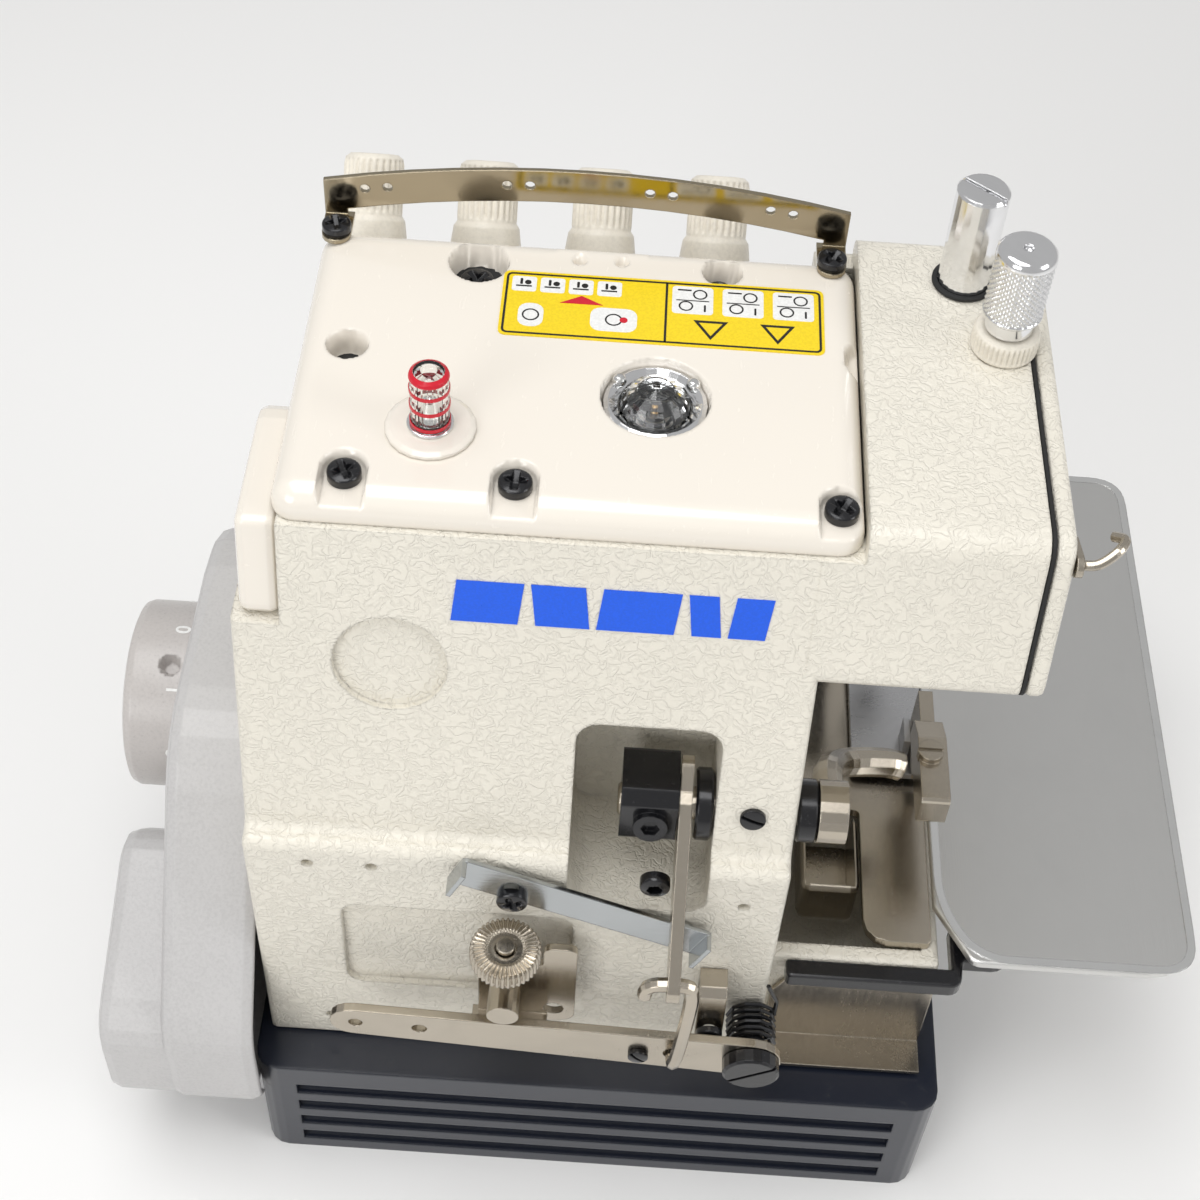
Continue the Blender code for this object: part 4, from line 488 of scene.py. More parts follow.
def turning(profile, place, axis=(0, 0, 1), sides=64, dent=None, sink=None):
    """Radius and height in mm carried round an axis; dent(angle, height, radius) is taken off the radius, and
    sink of the same three off the height."""
    profile = np.asarray(profile, float)
    angle = np.linspace(0, 2 * math.pi, sides, endpoint=False)[None, :]
    radius = profile[:, :1] + np.zeros_like(angle)
    height = profile[:, 1:] + np.zeros_like(angle)
    turned_by = angle + np.zeros_like(radius)
    lowered = sink(turned_by, height, radius) if sink else 0.0
    if dent:
        radius = radius - dent(turned_by, height, radius)
    height = height - lowered
    local = np.stack([radius * np.cos(angle), radius * np.sin(angle), height], axis=-1) / 1000
    points = local @ axis_turn(axis).T + np.asarray(place)
    return points, grid_faces(len(profile), sides, around=True)


def thicken(profile, count):
    """The profile with every long leg cut into shorter ones, so that a pattern has points to move."""
    profile = np.asarray(profile, float)
    travel = np.concatenate([[0], np.cumsum(np.linalg.norm(np.diff(profile, axis=0), axis=1))])
    fresh = np.unique(np.concatenate([travel, np.linspace(0, travel[-1], count)]))
    return np.stack([np.interp(fresh, travel, profile[:, 0]), np.interp(fresh, travel, profile[:, 1])],
                    axis=1)


# %% [markdown]
# ## The floor
# The machine stands on a wide sheet of off-white paper. A flat grid is enough, because only its shade and
# the shadows on it are seen.


# %% Lay the floor
FLOOR_HALF = 4.0
FLOOR_LINES = 9


def make_floor(finish_colour):
    """A flat square grid at height zero."""
    edge = np.linspace(-FLOOR_HALF, FLOOR_HALF, FLOOR_LINES)
    x, y = np.meshgrid(edge, edge, indexing="ij")
    corners = np.stack([x, y, x * 0], axis=-1).reshape(-1, 3)
    mesh = bpy.data.meshes.new("floor")
    mesh.from_pydata(corners.tolist(), [], grid_faces(FLOOR_LINES, FLOOR_LINES).tolist())
    board = Board("floor_paper", finish_colour, 0.75)
    mesh.materials.append(board.material)
    floor = bpy.data.objects.new("floor", mesh)
    bpy.context.scene.collection.objects.link(floor)


make_floor((0.90, 0.895, 0.885))
print("floor laid, metres across:", 2 * FLOOR_HALF)

# %% [markdown]
# ## The moulded top cover
# The cover is one thick moulding with softly rolled edges, sunk seats for its screws and deep holes for oil
# and tools. Cutting so many soft shapes from a block leaves hard seams. Worked out as a height over a grid,
# each seat is one distance, and a smooth step turns that distance into a rolled wall.


# %% Shape the cover as a height field
def smooth(value):
    """Smooth step: 3t^2 - 2t^3 of the value held between 0 and 1."""
    t = np.clip(value, 0.0, 1.0)
    return t * t * (3 - 2 * t)


def bunched(low, high, edge, step):
    """Lines spaced as a quarter circle over each edge and evenly between."""
    lead = edge * (1 - np.cos(np.linspace(0, math.pi / 2, 10)))
    middle = np.linspace(low + edge, high - edge, int((high - low - 2 * edge) / step))[1:-1]
    return np.concatenate([low + lead, middle, (high - lead)[::-1]])


def pit(height, away, depth, wall=1.1):
    """Height lowered by depth where away, the distance inside a seat's outline, is more than the wall."""
    drop = depth * smooth(away / wall)
    return np.minimum(height, TOP - drop) if depth > 0 else height - drop


COVER_ROLL = 7.5
GRID_STEP = 0.55
COVER_SCREWS = ((62.7, -12.6), (15.1, -12.7), (-75.8, -10.8))
SEAT_RADIUS, SEAT_DEPTH = 6.9, 4.2
GAUGE = (40.4, -29.6)
WINDOW = (-22.7, -48.3)
OPEN_HOLES = ((68.2, -61.9, 5.5), (33.1, -102.0, 8.5), (-41.3, -104.5, 5.5), (*GAUGE, 8.9), (*WINDOW, 15.3))
HOLE_DEPTH = 9.2
PAD_X, PAD_Y = -4.2, -106.0
PAD_HALF_X, PAD_HALF_Y, PAD_RISE = 13.5, 4.6, 1.1
PAD_HOLES = ((2.5, -105.7), (-10.4, -106.1))
NOTCH_Y, NOTCH_DEPTH = -71.5, 6.5


def cover_surface():
    """Plain top, less a quarter circle along the edge, less each seat; the skirt hangs from the edge."""
    (left, front, low), (right, rear, high) = reach("top_cover")
    roll = COVER_ROLL
    x, y = np.meshgrid(bunched(left, right, roll, GRID_STEP), bunched(front, rear, roll, GRID_STEP),
                       indexing="ij")
    cx, cy = (left + right) / 2, (front + rear) / 2
    out_x = np.abs(x - cx) - ((right - left) / 2 - roll)
    out_y = np.abs(y - cy) - ((rear - front) / 2 - roll)
    inside_x, inside_y = np.maximum(out_x, 0), np.maximum(out_y, 0)
    farthest = np.maximum(inside_x, inside_y)
    diagonal = np.maximum(np.hypot(inside_x, inside_y), 1e-9)
    pull = np.where((inside_x > 0) & (inside_y > 0), farthest / diagonal, 1.0)
    x = np.where(out_x > 0, cx + np.sign(x - cx) * ((right - left) / 2 - roll + inside_x * pull), x)
    y = np.where(out_y > 0, cy + np.sign(y - cy) * ((rear - front) / 2 - roll + inside_y * pull), y)
    height = TOP - roll + np.sqrt(np.maximum(roll ** 2 - farthest ** 2, 0))
    for sx, sy in COVER_SCREWS:
        height = pit(height, SEAT_RADIUS - np.hypot(x - sx, np.minimum(y - sy, 0)), SEAT_DEPTH)
    for hx, hy, radius in OPEN_HOLES:
        height = pit(height, radius + 0.8 - np.hypot(x - hx, y - hy), HOLE_DEPTH, 1.5)
    pad = np.maximum(np.abs(x - PAD_X) - PAD_HALF_X, np.abs(y - PAD_Y) - PAD_HALF_Y)
    height = pit(height, 0.9 - np.maximum(pad, 0), -PAD_RISE, 0.9)
    for hx, hy in PAD_HOLES:
        height = pit(height, 2.3 - np.hypot(x - hx, y - hy), 3.0, 0.8)
    height = pit(height, 5.0 - np.hypot(x - left, (y - NOTCH_Y) * 0.62), NOTCH_DEPTH, 1.4)
    top = np.stack([x, y, np.maximum(height, low + 0.4)], axis=-1)
    rows, columns = x.shape
    index = np.arange(rows * columns).reshape(rows, columns)
    rim = np.concatenate([index[:, 0], index[-1, 1:], index[-2::-1, -1], index[0, -2:0:-1]])
    flat = top.reshape(-1, 3)
    hem = flat[rim] * [1, 1, 0] + [0, 0, low]
    points = np.vstack([flat, hem, [[cx, cy, low]]])
    start, count = len(flat), len(rim)
    k = np.arange(count)
    after = (k + 1) % count
    skirt = np.stack([rim, rim[after], start + after, start + k], axis=-1)
    floor_fan = np.stack([start + k, start + after, np.full(count, start + count)], axis=-1)
    return DATUM + points / 1000, [*grid_faces(rows, columns).tolist(), *skirt.tolist(), *floor_fan.tolist()]


points, faces = cover_surface()
cover = make_piece("moulded_cover", points, faces, gloss_enamel, "machine", 60)
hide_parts("top_cover")
print("cover faces:", len(cover.data.polygons))

# %% [markdown]
# ## Screws with a driver recess
# Machine screws are pressed: a low dome with a rolled edge, and a recess that narrows as it goes down. The
# head is a polar grid, and the recess is a depth that depends on how far a point lies from the cross, slot
# or hexagon.


# %% Press the screw heads
def recess(x, y, drive, size):
    """How deep the driver recess is, from 0 to 1, at a point of the head."""
    if drive == "cross":
        arm = np.minimum(np.abs(x), np.abs(y))
        along = np.maximum(np.abs(x), np.abs(y))
        return smooth((size * 0.25 - arm) / (size * 0.09)) * np.clip(1.25 - along / (size * 0.62), 0, 1)
    if drive == "slot":
        return smooth((size * 0.15 - np.abs(x)) / (size * 0.07))
    wide = np.maximum(np.abs(y), np.maximum(np.abs(0.5 * y + 0.866 * x), np.abs(0.5 * y - 0.866 * x)))
    return smooth((size * 0.48 - wide) / (size * 0.08)) * 1.3


def screw_head(name, place, size, rise, drive, body, axis=(0, 0, 1), spin=0.0, finish=None, sunk=0.35):
    """Dome rise*(1 - 0.22 r^2) with a rolled edge, less the recess; the underside closes at a pole."""
    share = np.linspace(0, 1, 34)
    sides = 96
    radius = np.concatenate([size * share * 0.93, [size * 0.985, size, size, size, 0.0]])
    edge_heights = [rise * 0.68, rise * 0.5, rise * 0.25, -0.4, -0.4]
    height = np.concatenate([rise * (1 - 0.22 * share ** 2), edge_heights])
    angle = np.linspace(0, 2 * math.pi, sides, endpoint=False)[None, :]
    x, y = radius[:, None] * np.cos(angle), radius[:, None] * np.sin(angle)
    top_rows = (np.arange(len(radius)) < len(share))[:, None]
    z = height[:, None] - top_rows * recess(x, y, drive, size) * rise * (sunk + 0.45)
    c, s = math.cos(spin), math.sin(spin)
    local = np.stack([x * c - y * s, x * s + y * c, z], axis=-1) / 1000
    points = local @ axis_turn(axis).T + np.asarray(place)
    return make_piece(name, points, grid_faces(len(radius), sides, around=True), finish or black_steel, body,
                      30)


GUIDE_SCREWS = ((77.7, -110.6), (-74.6, -109.8))
WALL_LEAN = math.radians(13.0)
LEAN = (0, math.cos(WALL_LEAN), math.sin(WALL_LEAN))
for k, (x, y) in enumerate(COVER_SCREWS):
    screw_head(f"cover_screw_{k + 1}", spot(x, y, TOP - 3.6), 4.9, 3.1, "cross", "machine", spin=0.5 + k)
for k, (x, y) in enumerate(GUIDE_SCREWS):
    screw_head(f"guide_screw_{k + 1}", spot(x, y, TOP + 2.2), 4.5, 2.8, "cross", "machine",
               spin=0.3 + 0.6 * k)
hook_y = reach("thread_hook")[0][1] + 3.3
screw_head("hook_screw", spot(10.7, hook_y, 163.9), 4.9, 3.0, "cross", "machine", (0, 1, 0), 0.4)
screw_head("set_screw", spot(-61.4, 24.2, 195.1), 4.0, 1.4, "slot", "machine", LEAN, 1.2)
screw_head("oil_plug", spot(-33.4, 33.0, 170.5), 4.8, 4.0, "hex", "machine", (0, 1, 0), 0.2)
bracket_low, bracket_high = reach("spring_bracket")
bracket_x = (bracket_low[0] + bracket_high[0]) / 2
screw_head("bracket_screw", spot(bracket_x, bracket_high[1] + 0.5, 104.0), 4.4, 2.4, "slot", "machine",
           (0, 1, 0), 1.9)
screw_head("lever_stud", spot(-33.0, reach("lift_lever")[1][1] + 0.5, 98.5), 3.4, 1.8, "slot", "lever",
           (0, 1, 0), 0.8)
print("screws pressed")

# %% [markdown]
# ## Knobs, nuts and dials
# Grips are knurled, so a finger can turn them through oil: straight ribs on the moulded dials, a diamond
# pattern on the steel knob, and deep teeth on the feed nut. All are one profile carried round an axis, with
# a pattern of angle and height taken off.


# %% Turn the grips
def ribs(count, depth, low, high):
    """Ribs: half a cosine of the angle, between two heights."""
    def taken(angle, height, radius):
        band = smooth((height - low) / 0.8) * smooth((high - height) / 0.8)
        wave = (0.5 - 0.5 * np.cos(angle * count)) ** 1.6
        return depth * wave * band * (radius > 6)
    return taken


def diamonds(count, pitch, depth, low, high):
    """Diamonds: the smaller of two folded waves that run up to the left and up to the right."""
    def taken(angle, height, radius):
        turn = angle * count / (2 * math.pi)
        first = np.abs((turn + height / pitch) % 1 - 0.5)
        second = np.abs((turn - height / pitch) % 1 - 0.5)
        band = smooth((height - low) / 0.5) * smooth((high - height) / 0.5)
        return depth * 2 * np.maximum(first, second) ** 1.3 * band
    return taken


def turned_grip(name, node, body, finish, profile, place, axis=(0, 0, 1), sides=96, dent=None, rows=60,
                closed=False,
                sharp=40, sink=None):
    """A profile, cut into short legs, carried round an axis; it takes the place of a node if one is named."""
    loop = [*profile, profile[0]] if closed else profile
    shape = thicken(loop, rows)
    points, faces = turning(shape, place, axis, sides, dent, sink)
    piece = make_piece(name, points, faces, finish, body, sharp)
    if node:
        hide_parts(node)
    return piece


DIAL_TILT = math.radians(52)
DIAL_AXIS = (0, -math.cos(DIAL_TILT), math.sin(DIAL_TILT))
DIAL_COUNT, DIAL_PITCH = 4, 37.2
DIAL_X, DIAL_Y, DIAL_DROP = 71.4, -125.0, 38.0
DIAL_RIBS = 26
dial_profile = [(3.5, 13.0), (11.6, 13.0), (12.2, 13.6), (12.0, 15.5), (10.7, 25.0), (10.0, 26.0),
                (9.6, 26.6), (9.7, 27.4),
                (9.7, 42.6), (9.2, 44.6), (7.6, 45.8), (5.0, 46.0), (1.2, 45.9), (1.2, 41.0), (3.5, 40.4)]
for k in range(DIAL_COUNT):
    turned_grip(f"ribbed_dial_{k + 1}", f"tension_knob_{k + 1}", f"tension_dial_{k + 1}",
                dial_plastic,
                dial_profile, spot(DIAL_X - DIAL_PITCH * k, DIAL_Y, TOP - DIAL_DROP), DIAL_AXIS,
                DIAL_RIBS * 7, ribs(DIAL_RIBS, 0.85, 27.2, 44.2), 80,
                closed=True)

knob_low, knob_high = reach("pressure_knob")
knob_x, knob_y = (knob_low[0] + knob_high[0]) / 2, (knob_low[1] + knob_high[1]) / 2
knob_rise = knob_high[2] - TOP
KNURL_COUNT = 30
grip_heights = np.linspace(14.6, knob_rise - 3.0, 120)
knob_profile = [(0, -15.9), (3.9, -15.9), (3.9, 8.4), (7.2, 8.8), (7.2, 13.2), (8.0, 13.6),
                *[(8.9, height) for height in grip_heights],
                (8.6, knob_rise - 1.6), (7.6, knob_rise - 0.5), (6.6, knob_rise - 0.1),
                (3.0, knob_rise - 0.25),
                (1.6, knob_rise - 0.3), (1.1, knob_rise - 1.5), (0, knob_rise - 1.6)]
turned_grip("knurled_knob", "pressure_knob", "pressure_screw", bright_chrome, knob_profile,
            spot(knob_x, knob_y, TOP), sides=34 * 8,
            dent=diamonds(KNURL_COUNT, 1.88, 0.7, 15.0, knob_rise - 3.2), rows=40)
NUT_RIBS = 38
nut_profile = [(4.4, 0.4), (9.6, 0.4), (10.0, 1.2), (10.0, 6.6), (9.3, 7.8), (7.9, 8.0), (4.4, 7.6)]
turned_grip("ribbed_lock_nut", "pressure_lock_nut", "lock_nut", dial_plastic, nut_profile,
            spot(knob_x, knob_y, TOP), sides=NUT_RIBS * 6, dent=ribs(NUT_RIBS, 0.6, 1.0, 7.4), rows=44,
            closed=True)


FEED_TEETH = 40


def top_teeth(angle, height, radius):
    """Shallow grooves that run out over the top face of the nut, deeper towards its rim."""
    wave = 0.5 - 0.5 * np.cos(angle * FEED_TEETH)
    return 0.8 * wave * smooth((radius - 5.0) / 4.0) * smooth((height - 5.5) / 1.2)


feed_low, feed_high = reach("diff_nut")
feed_place = spot((feed_low[0] + feed_high[0]) / 2, (feed_low[1] + feed_high[1]) / 2, feed_low[2])
feed_profile = [(3.4, 0.0), (10.6, 0.0), (11.5, 1.0), (11.55, 5.4), (10.8, 6.9), (7.0, 7.0), (6.4, 6.2),
                (4.4, 6.0),
                (3.4, 6.0)]
turned_grip("toothed_feed_nut", "diff_nut", "feed_nut", warm_nickel, feed_profile, feed_place,
            sides=FEED_TEETH * 6, dent=ribs(FEED_TEETH, 0.9, -0.2, 7.6), rows=50, closed=True, sink=top_teeth)
print("grips turned")

# %% [markdown]
# ## The handwheel
# The wheel is a smooth moulding with three finger holes and a scale of numbers round its rim. The holes are
# another pattern taken off the radius. The numbers start as flat text, which is then wrapped round the rim.

# %% Mould the wheel and wrap its scale
wheel_low, wheel_high = reach("handwheel")
wheel_y, wheel_z = (wheel_low[1:] + wheel_high[1:]) / 2
wheel_radius = (wheel_high[1] - wheel_low[1]) / 2
wheel_near, wheel_far = wheel_low[0], wheel_high[0]
WHEEL_SIDES = 240
FINGER_ANGLES = (70, 190, 310)
FINGER_INSET, FINGER_RADIUS, FINGER_DEPTH = 8.0, 3.7, 5.0
NUMBER_COUNT, NUMBER_STEP, FIRST_NUMBER = 9, 40, 95


def finger_holes(angle, height, radius):
    """Three round pits: the distance on the rim from each hole's middle gives the depth."""
    taken = np.zeros_like(angle)
    for middle in np.radians(FINGER_ANGLES):
        across = ((angle - middle + math.pi) % (2 * math.pi) - math.pi) * wheel_radius
        away = np.hypot(across, height - wheel_near - FINGER_INSET)
        taken = taken + FINGER_DEPTH * smooth((FINGER_RADIUS - away) / 0.8)
    return taken * (radius > wheel_radius - 1.5)


wheel_profile = thicken([(9.0, wheel_near), (wheel_radius - 2.5, wheel_near),
                         (wheel_radius - 0.8, wheel_near + 0.6),
                         (wheel_radius, wheel_near + 2.4), (wheel_radius, wheel_far - 3.0),
                         (wheel_radius - 0.9, wheel_far - 0.9),
                         (wheel_radius - 3.0, wheel_far), (wheel_radius - 7.6, wheel_far),
                         (wheel_radius - 8.8, wheel_far - 1.2),
                         (wheel_radius - 9.6, wheel_far - 7.2), (wheel_radius - 11.0, wheel_far - 8.0),
                         (14.0, wheel_far - 8.0),
                         (12.8, wheel_far - 7.2), (12.0, wheel_far - 0.6), (11.4, wheel_far),
                         (9.0, wheel_far),
                         (9.0, wheel_near)], 130)
angle = np.linspace(0, 2 * math.pi, WHEEL_SIDES, endpoint=False)[None, :]
reach_out = wheel_profile[:, :1] - finger_holes(angle + wheel_profile[:, :1] * 0, wheel_profile[:, 1:],
                                                wheel_profile[:, :1])
along = wheel_profile[:, 1:] + angle * 0
rim = np.stack([along, wheel_y + reach_out * np.cos(angle), wheel_z + reach_out * np.sin(angle)], axis=-1)
wheel_faces = grid_faces(len(wheel_profile), WHEEL_SIDES, around=True)
wheel = make_piece("moulded_wheel", DATUM + rim / 1000, wheel_faces, wheel_plastic, "drive",
                   34)
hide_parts("handwheel")


def rim_number(name, text, middle):
    """Flat text (u, v) wrapped on the rim: angle = middle + u / radius, and v runs along the axle."""
    curve = bpy.data.curves.new(name, "FONT")
    curve.body = text
    curve.size = 7.4
    curve.align_x = "CENTER"
    curve.extrude = 0.12
    curve.offset = 0.12
    flat = bpy.data.objects.new(name + "_flat", curve)
    bpy.context.scene.collection.objects.link(flat)
    bpy.context.view_layer.update()
    mesh = bpy.data.meshes.new_from_object(flat)
    bpy.data.objects.remove(flat)
    corners = np.empty(len(mesh.vertices) * 3)
    mesh.vertices.foreach_get("co", corners)
    u, v, w = corners.reshape(-1, 3).T
    turn_by = middle + u / wheel_radius
    radius = wheel_radius + 0.1 + w
    spots = np.stack([wheel_near + 3.2 + v, wheel_y + radius * np.cos(turn_by),
                      wheel_z + radius * np.sin(turn_by)], axis=-1)
    faces = [list(face.vertices) for face in mesh.polygons]
    make_piece(name, DATUM + spots / 1000, faces, white_ink, "drive", 30)


for k in range(NUMBER_COUNT):
    rim_number(f"wheel_number_{k}", str(k), math.radians(FIRST_NUMBER - NUMBER_STEP * k))
print("wheel radius, mm:", round(wheel_radius, 1))

# %% [markdown]
# ## Printed label and mark
# A label is a thin film with rounded corners, printed in a few flat inks. Printing is modelled as slabs of
# film a few tenths of a millimetre thick, so that it stays crisp from any distance. The pictures are plain
# shapes.


# %% Cut films and print them
def soft_box(left, low, right, high, radius, steps=5):
    """Outline of a rectangle whose corners are quarter circles."""
    turns = np.linspace(0, math.pi / 2, steps)
    corners = ((right - radius, high - radius, 0), (left + radius, high - radius, 1),
               (left + radius, low + radius, 2),
               (right - radius, low + radius, 3))
    parts = []
    for cx, cy, quarter in corners:
        turned = turns + quarter * math.pi / 2
        parts.append(np.stack([cx + radius * np.cos(turned), cy + radius * np.sin(turned)], axis=-1))
    return np.vstack(parts)


def round_spot(x, y, radius, steps=28):
    """Outline of a circle."""
    turn_by = np.linspace(0, 2 * math.pi, steps, endpoint=False)
    return np.stack([x + radius * np.cos(turn_by), y + radius * np.sin(turn_by)], axis=-1)


def film(outline, low, high):
    """The outline carried up from low to high, closed by a fan to its middle at each end."""
    outline = np.asarray(outline, float)
    middle = outline.mean(axis=0, keepdims=True)
    rings = [np.repeat(middle, len(outline), axis=0), outline, outline,
             np.repeat(middle, len(outline), axis=0)]
    levels = [low, low, high, high]
    slabs = [np.column_stack([ring, np.full(len(outline), level)]) for ring, level in zip(rings, levels)]
    return np.stack(slabs).reshape(-1, 3), grid_faces(4, len(outline), around=True)


def border(outer, inner, low, high):
    """A flat band between two outlines that have the same number of points."""
    rings = np.stack([np.column_stack([ring, np.full(len(ring), level)])
                      for ring, level in ((outer, low), (outer, high), (inner, high), (inner, low))])
    return rings.reshape(-1, 3), grid_faces(4, len(outer), around=True, closed=True)


def gather(parts):
    """Several grids as one: each part's face numbers are moved up by the points before it."""
    starts = np.cumsum([0] + [len(points) for points, _ in parts[:-1]])
    moved = [faces + start for (_, faces), start in zip(parts, starts)]
    return np.vstack([points for points, _ in parts]), np.vstack(moved)


def print_on_cover(name, parts, finish):
    """Several films as one piece, laid at the height of the cover's top."""
    points, faces = gather(parts)
    return make_piece(name, spot(0, 0, TOP) + points / 1000, faces, finish, "machine", 30)


LABEL = (-72.0, -98.7, 25.0, -70.0)
SPLIT = -24.5
LINE_LAYER = (0.2, 0.32)
PANEL_LAYER = (0.2, 0.34)
MARK_LAYER = (0.3, 0.4)
print_on_cover("label_film", [film(soft_box(*LABEL, 2.2), 0.02, 0.24)], yellow_ink)
inset = soft_box(LABEL[0] + 0.9, LABEL[1] + 0.9, LABEL[2] - 0.9, LABEL[3] - 0.9, 1.7)
inner = soft_box(LABEL[0] + 1.6, LABEL[1] + 1.6, LABEL[2] - 1.6, LABEL[3] - 1.6, 1.1)
divider = soft_box(SPLIT - 0.35, LABEL[1] + 1.2, SPLIT + 0.35, LABEL[3] - 1.2, 0.1)
lines = [border(inset, inner, *LINE_LAYER), film(divider, *LINE_LAYER)]
panels = []
marks = []
for k in range(4):
    left = 14.9 - 8.6 * k
    panels.append(film(soft_box(left, -96.2, left + 7.4, -89.6, 0.9), *PANEL_LAYER))
    marks.append(film(round_spot(left + 2.6, -93.6, 1.0), *MARK_LAYER))
    marks.append(film(soft_box(left + 1.4, -92.2, left + 6.2, -91.6, 0.2), *MARK_LAYER))
    marks.append(film(soft_box(left + 4.2, -95.2, left + 5.0, -92.6, 0.3), *MARK_LAYER))
for k in range(3):
    left = -38.6 - 15.2 * k
    panels.append(film(soft_box(left, -96.4, left + 12.4, -84.2, 1.2), *PANEL_LAYER))
    marks.append(border(round_spot(left + 4.0, -93.0, 2.2), round_spot(left + 4.0, -93.0, 1.7), *MARK_LAYER))
    marks.append(film(soft_box(left + 6.6, -95.0, left + 10.8, -94.4, 0.2), *MARK_LAYER))
    marks.append(border(round_spot(left + 8.2, -87.6, 2.2), round_spot(left + 8.2, -87.6, 1.7), *MARK_LAYER))
    marks.append(film(soft_box(left + 1.2, -90.3, left + 11.2, -89.9, 0.2), *MARK_LAYER))
    marks.append(film(soft_box(left + 2.2, -88.4, left + 2.8, -85.4, 0.2), *MARK_LAYER))
for left, right, low, high in ((12.0, 19.6, -84.4, -74.2), (-16.0, -2.0, -84.4, -74.2)):
    panels.append(film(soft_box(left, low, right, high, 3.2), *PANEL_LAYER))
    marks.append(border(round_spot((left + right) / 2, (low + high) / 2, 2.6),
                        round_spot((left + right) / 2, (low + high) / 2, 2.1),
                        *MARK_LAYER))
for x in (-38.0, -58.0):
    outer = np.array([(x - 5.2, -81.6), (x + 5.2, -81.6), (x, -73.4)])
    panel = np.array([(x - 3.6, -80.7), (x + 3.6, -80.7), (x, -75.0)])
    marks.append(border(outer, panel, *LINE_LAYER))
red = [film(np.array([(7.4, -85.4), (1.0, -89.0), (-5.6, -85.4)]), 0.24, 0.34),
       film(round_spot(-12.0, -79.4, 1.2), 0.3, 0.42)]
print_on_cover("label_lines", lines, black_ink)
print_on_cover("label_panels", panels, white_ink)
print_on_cover("label_marks", marks, black_ink)
print_on_cover("label_red", red, red_ink)

MARK_LOW, MARK_HIGH = 262.0, 276.0
WALL_TOP_Y, WALL_TOP_Z = 2.0, 290.0
wall_blocks = []
for k, (left, right) in enumerate(((12.5, 30.0), (-8.0, 9.0), (-32.0, -11.5), (-45.5, -35.5),
                                   (-58.0, -49.0))):
    slant = 1.6 if k % 2 == 0 else -1.6
    wall_blocks.append(film(np.array([(left, MARK_LOW), (right + slant, MARK_LOW), (right, MARK_HIGH),
                                      (left - slant, MARK_HIGH)]), 0.05, 0.3))
points, faces = gather(wall_blocks)
x, z, lift = points.T
wall_y = WALL_TOP_Y + (WALL_TOP_Z - z) * math.tan(WALL_LEAN)
on_wall = np.stack([x, wall_y + lift * math.cos(WALL_LEAN), z + lift * math.sin(WALL_LEAN)], axis=-1)
make_piece("plain_blue_mark", DATUM + on_wall / 1000, faces, blue_ink, "machine", 30)
print("label and mark printed")

# %% [markdown]
# ## Small turned rings
# Collars, seals and the red bands of the oil gauge are plain rings. Each is a closed profile carried round
# its own axis, so the seam closes on itself.


# %% Turn the rings
def ring(name, profile, place, finish, body, slot, axis=(0, 0, 1), sides=72):
    """A closed profile carried round an axis."""
    return turned_grip(name, None, body, finish, profile, place, axis, sides, None, 24, True, 34)


def band(low, high, inner, outer, round_by=0.3):
    """Profile of a ring with small rounded edges."""
    return [(inner, low), (outer - round_by, low), (outer, low + round_by), (outer, high - round_by),
            (outer - round_by, high),
            (inner, high)]


GAUGE_BANDS = (3.4, 9.6, 15.4)
gauge_at = spot(*GAUGE, TOP)
for k, height in enumerate(GAUGE_BANDS):
    ring(f"gauge_band_{k + 1}", band(height, height + 1.3, 5.62, 5.85, 0.1), gauge_at, red_ink, "machine",
         "clear_plastic")
ring("gauge_cap_band", [(4.3, 21.6), (5.5, 20.6), (5.68, 20.2), (5.8, 20.6), (5.5, 21.4), (4.5, 22.2)],
     gauge_at, red_ink,
     "machine", "clear_plastic")
ring("gauge_seal", band(2.05, 3.1, 5.65, 6.7), gauge_at, bright_chrome, "machine", "chrome")
turned_grip("gauge_float", None, "machine", rim_steel,
            [(0, -6.0), (3.2, -6.0), (3.4, 4.0), (2.4, 6.5), (1.6, 12.0), (0, 13.0)], gauge_at, sides=48,
            rows=30)
window_at = spot(*WINDOW, TOP)
ring("sight_cup", [(1.3, -7.6), (4.6, -7.6), (5.0, -5.6), (3.8, -4.6), (1.9, -5.2)], window_at, black_steel,
     "machine",
     "black_oxide")
ring("sight_seat", [(5.4, -8.3), (8.6, -8.3), (8.7, -7.4), (7.4, -6.6), (5.6, -7.4)], window_at, dark_iron,
     "machine",
     "motor_iron")
for k, away in enumerate((35.0, 145.0)):
    turned_by = math.radians(away)
    clip = spot(WINDOW[0] + 13.2 * math.cos(turned_by), WINDOW[1] - 13.2 * math.sin(turned_by), TOP - 2.2)
    turned_grip(f"sight_clip_{k + 1}", None, "machine", rim_steel,
                [(0, -0.6), (1.9, -0.6), (2.2, 0.4), (1.9, 1.5), (1.1, 2.2), (0, 2.4)], clip, sides=40,
                rows=20)
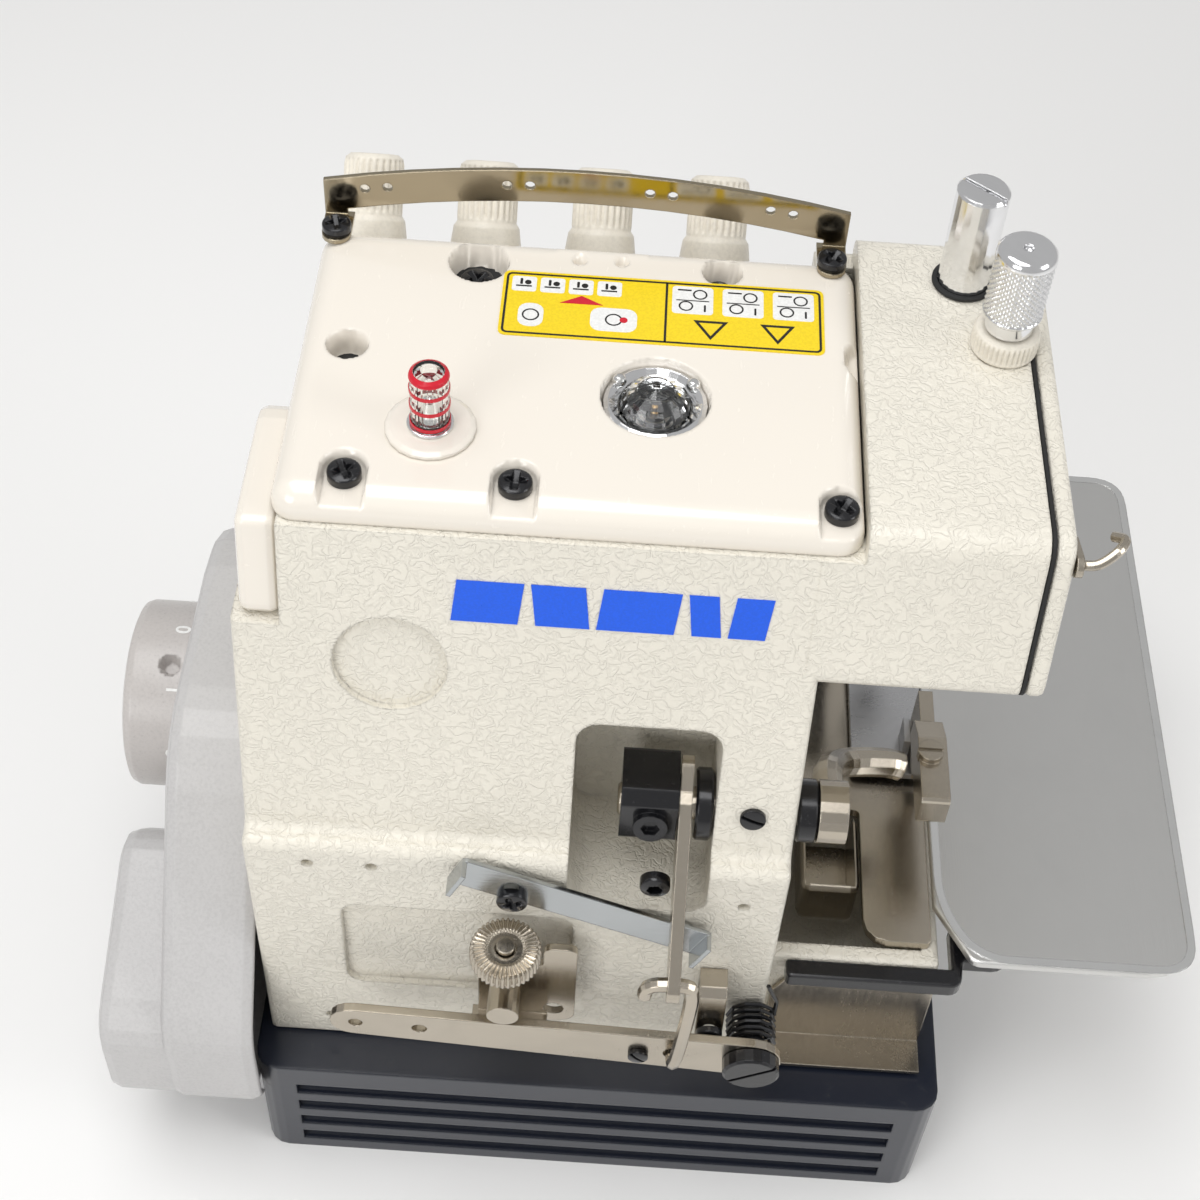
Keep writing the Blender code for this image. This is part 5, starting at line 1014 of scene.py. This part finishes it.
# Painted shade: each open hole gets a flat near-black disc just above its floor, in the gasket rubber finish,
# so that the hole looks deep and dark; two of them hold a screw.
for k, (x, y, radius) in enumerate(OPEN_HOLES[:3]):
    points, faces = film(round_spot(x, y, radius - 0.5, 64), TOP - 8.9, TOP - 8.6)
    make_piece(f"hole_shade_disc_{k + 1}", DATUM + points / 1000, faces, gasket_rubber, "machine",
               30)
    if k > 0:
        screw_head(f"deep_screw_{k}", spot(x + 0.6, y + 0.8, TOP - 8.4), min(radius - 1.4, 5.2), 2.6,
                   "cross", "machine",
                   spin=0.7 * k)
turned_grip("sight_jet", None, "machine", bush_bronze,
            [(0, -8.0), (1.0, -8.0), (1.0, -4.9), (0.5, -4.5), (0, -4.5)],
            window_at, sides=32, rows=16)
cap_low, cap_high = reach("needle_bar_cap")
cap_at = spot((cap_low[0] + cap_high[0]) / 2, (cap_low[1] + cap_high[1]) / 2, TOP)
ring("cap_seal", band(0.25, 1.6, 8.1, 9.6), cap_at, gasket_rubber, "machine", "black_rubber")
shaft_low, shaft_high = reach("presser_shaft")
axle_y, axle_z = (shaft_low[1:] + shaft_high[1:]) / 2
axle_radius = (shaft_high[2] - shaft_low[2]) / 2
axle_at = spot(0, axle_y, axle_z)
ring("outer_collar", band(75.6, 82.0, axle_radius + 0.1, 10.0, 0.8), axle_at, black_steel, "presser",
     "black_oxide", (-1, 0, 0))
ring("inner_collar", band(44.0, 49.5, axle_radius + 0.1, 11.4, 0.8), axle_at, black_steel, "presser",
     "black_oxide", (-1, 0, 0))
print("rings turned")

# %% [markdown]
# ## Polished rim of the cloth plate, with a painted highlight
# The plate is brushed along its length, and then its edge is polished, so cloth slides over it. The rim is
# a thin flat band between the plate's outline and the same outline drawn in by three millimetres. Its lower
# roughness is the polish; its brighter colour is a painted highlight for the light that the bevelled edge
# catches.

# %% Polish the rim and paint its highlight
plate_low, plate_high = reach("cloth_plate")


def plate_outline(inset):
    """Corners of the plate drawn in by an inset, each rounded by a quadratic curve."""
    near, far = plate_high[0] - inset, plate_low[0] + inset
    front, rear = plate_low[1] + inset, plate_high[1] - inset
    cut = plate_high[1] - 21.5 - inset * 0.3
    middle = [(near + far) / 2, front]
    corners = [middle, (near, front), (near, cut), (near - 12.0 + inset * 0.3, rear), (far, rear),
               (far, front), middle]
    return filleted(corners, 14.0 - inset, 8)[:-1]


points, faces = border(plate_outline(0.5), plate_outline(3.4), plate_high[2] + 0.02, plate_high[2] + 0.2)
make_piece("plate_rim", DATUM + points / 1000, faces, rim_steel, "side_table", 30)
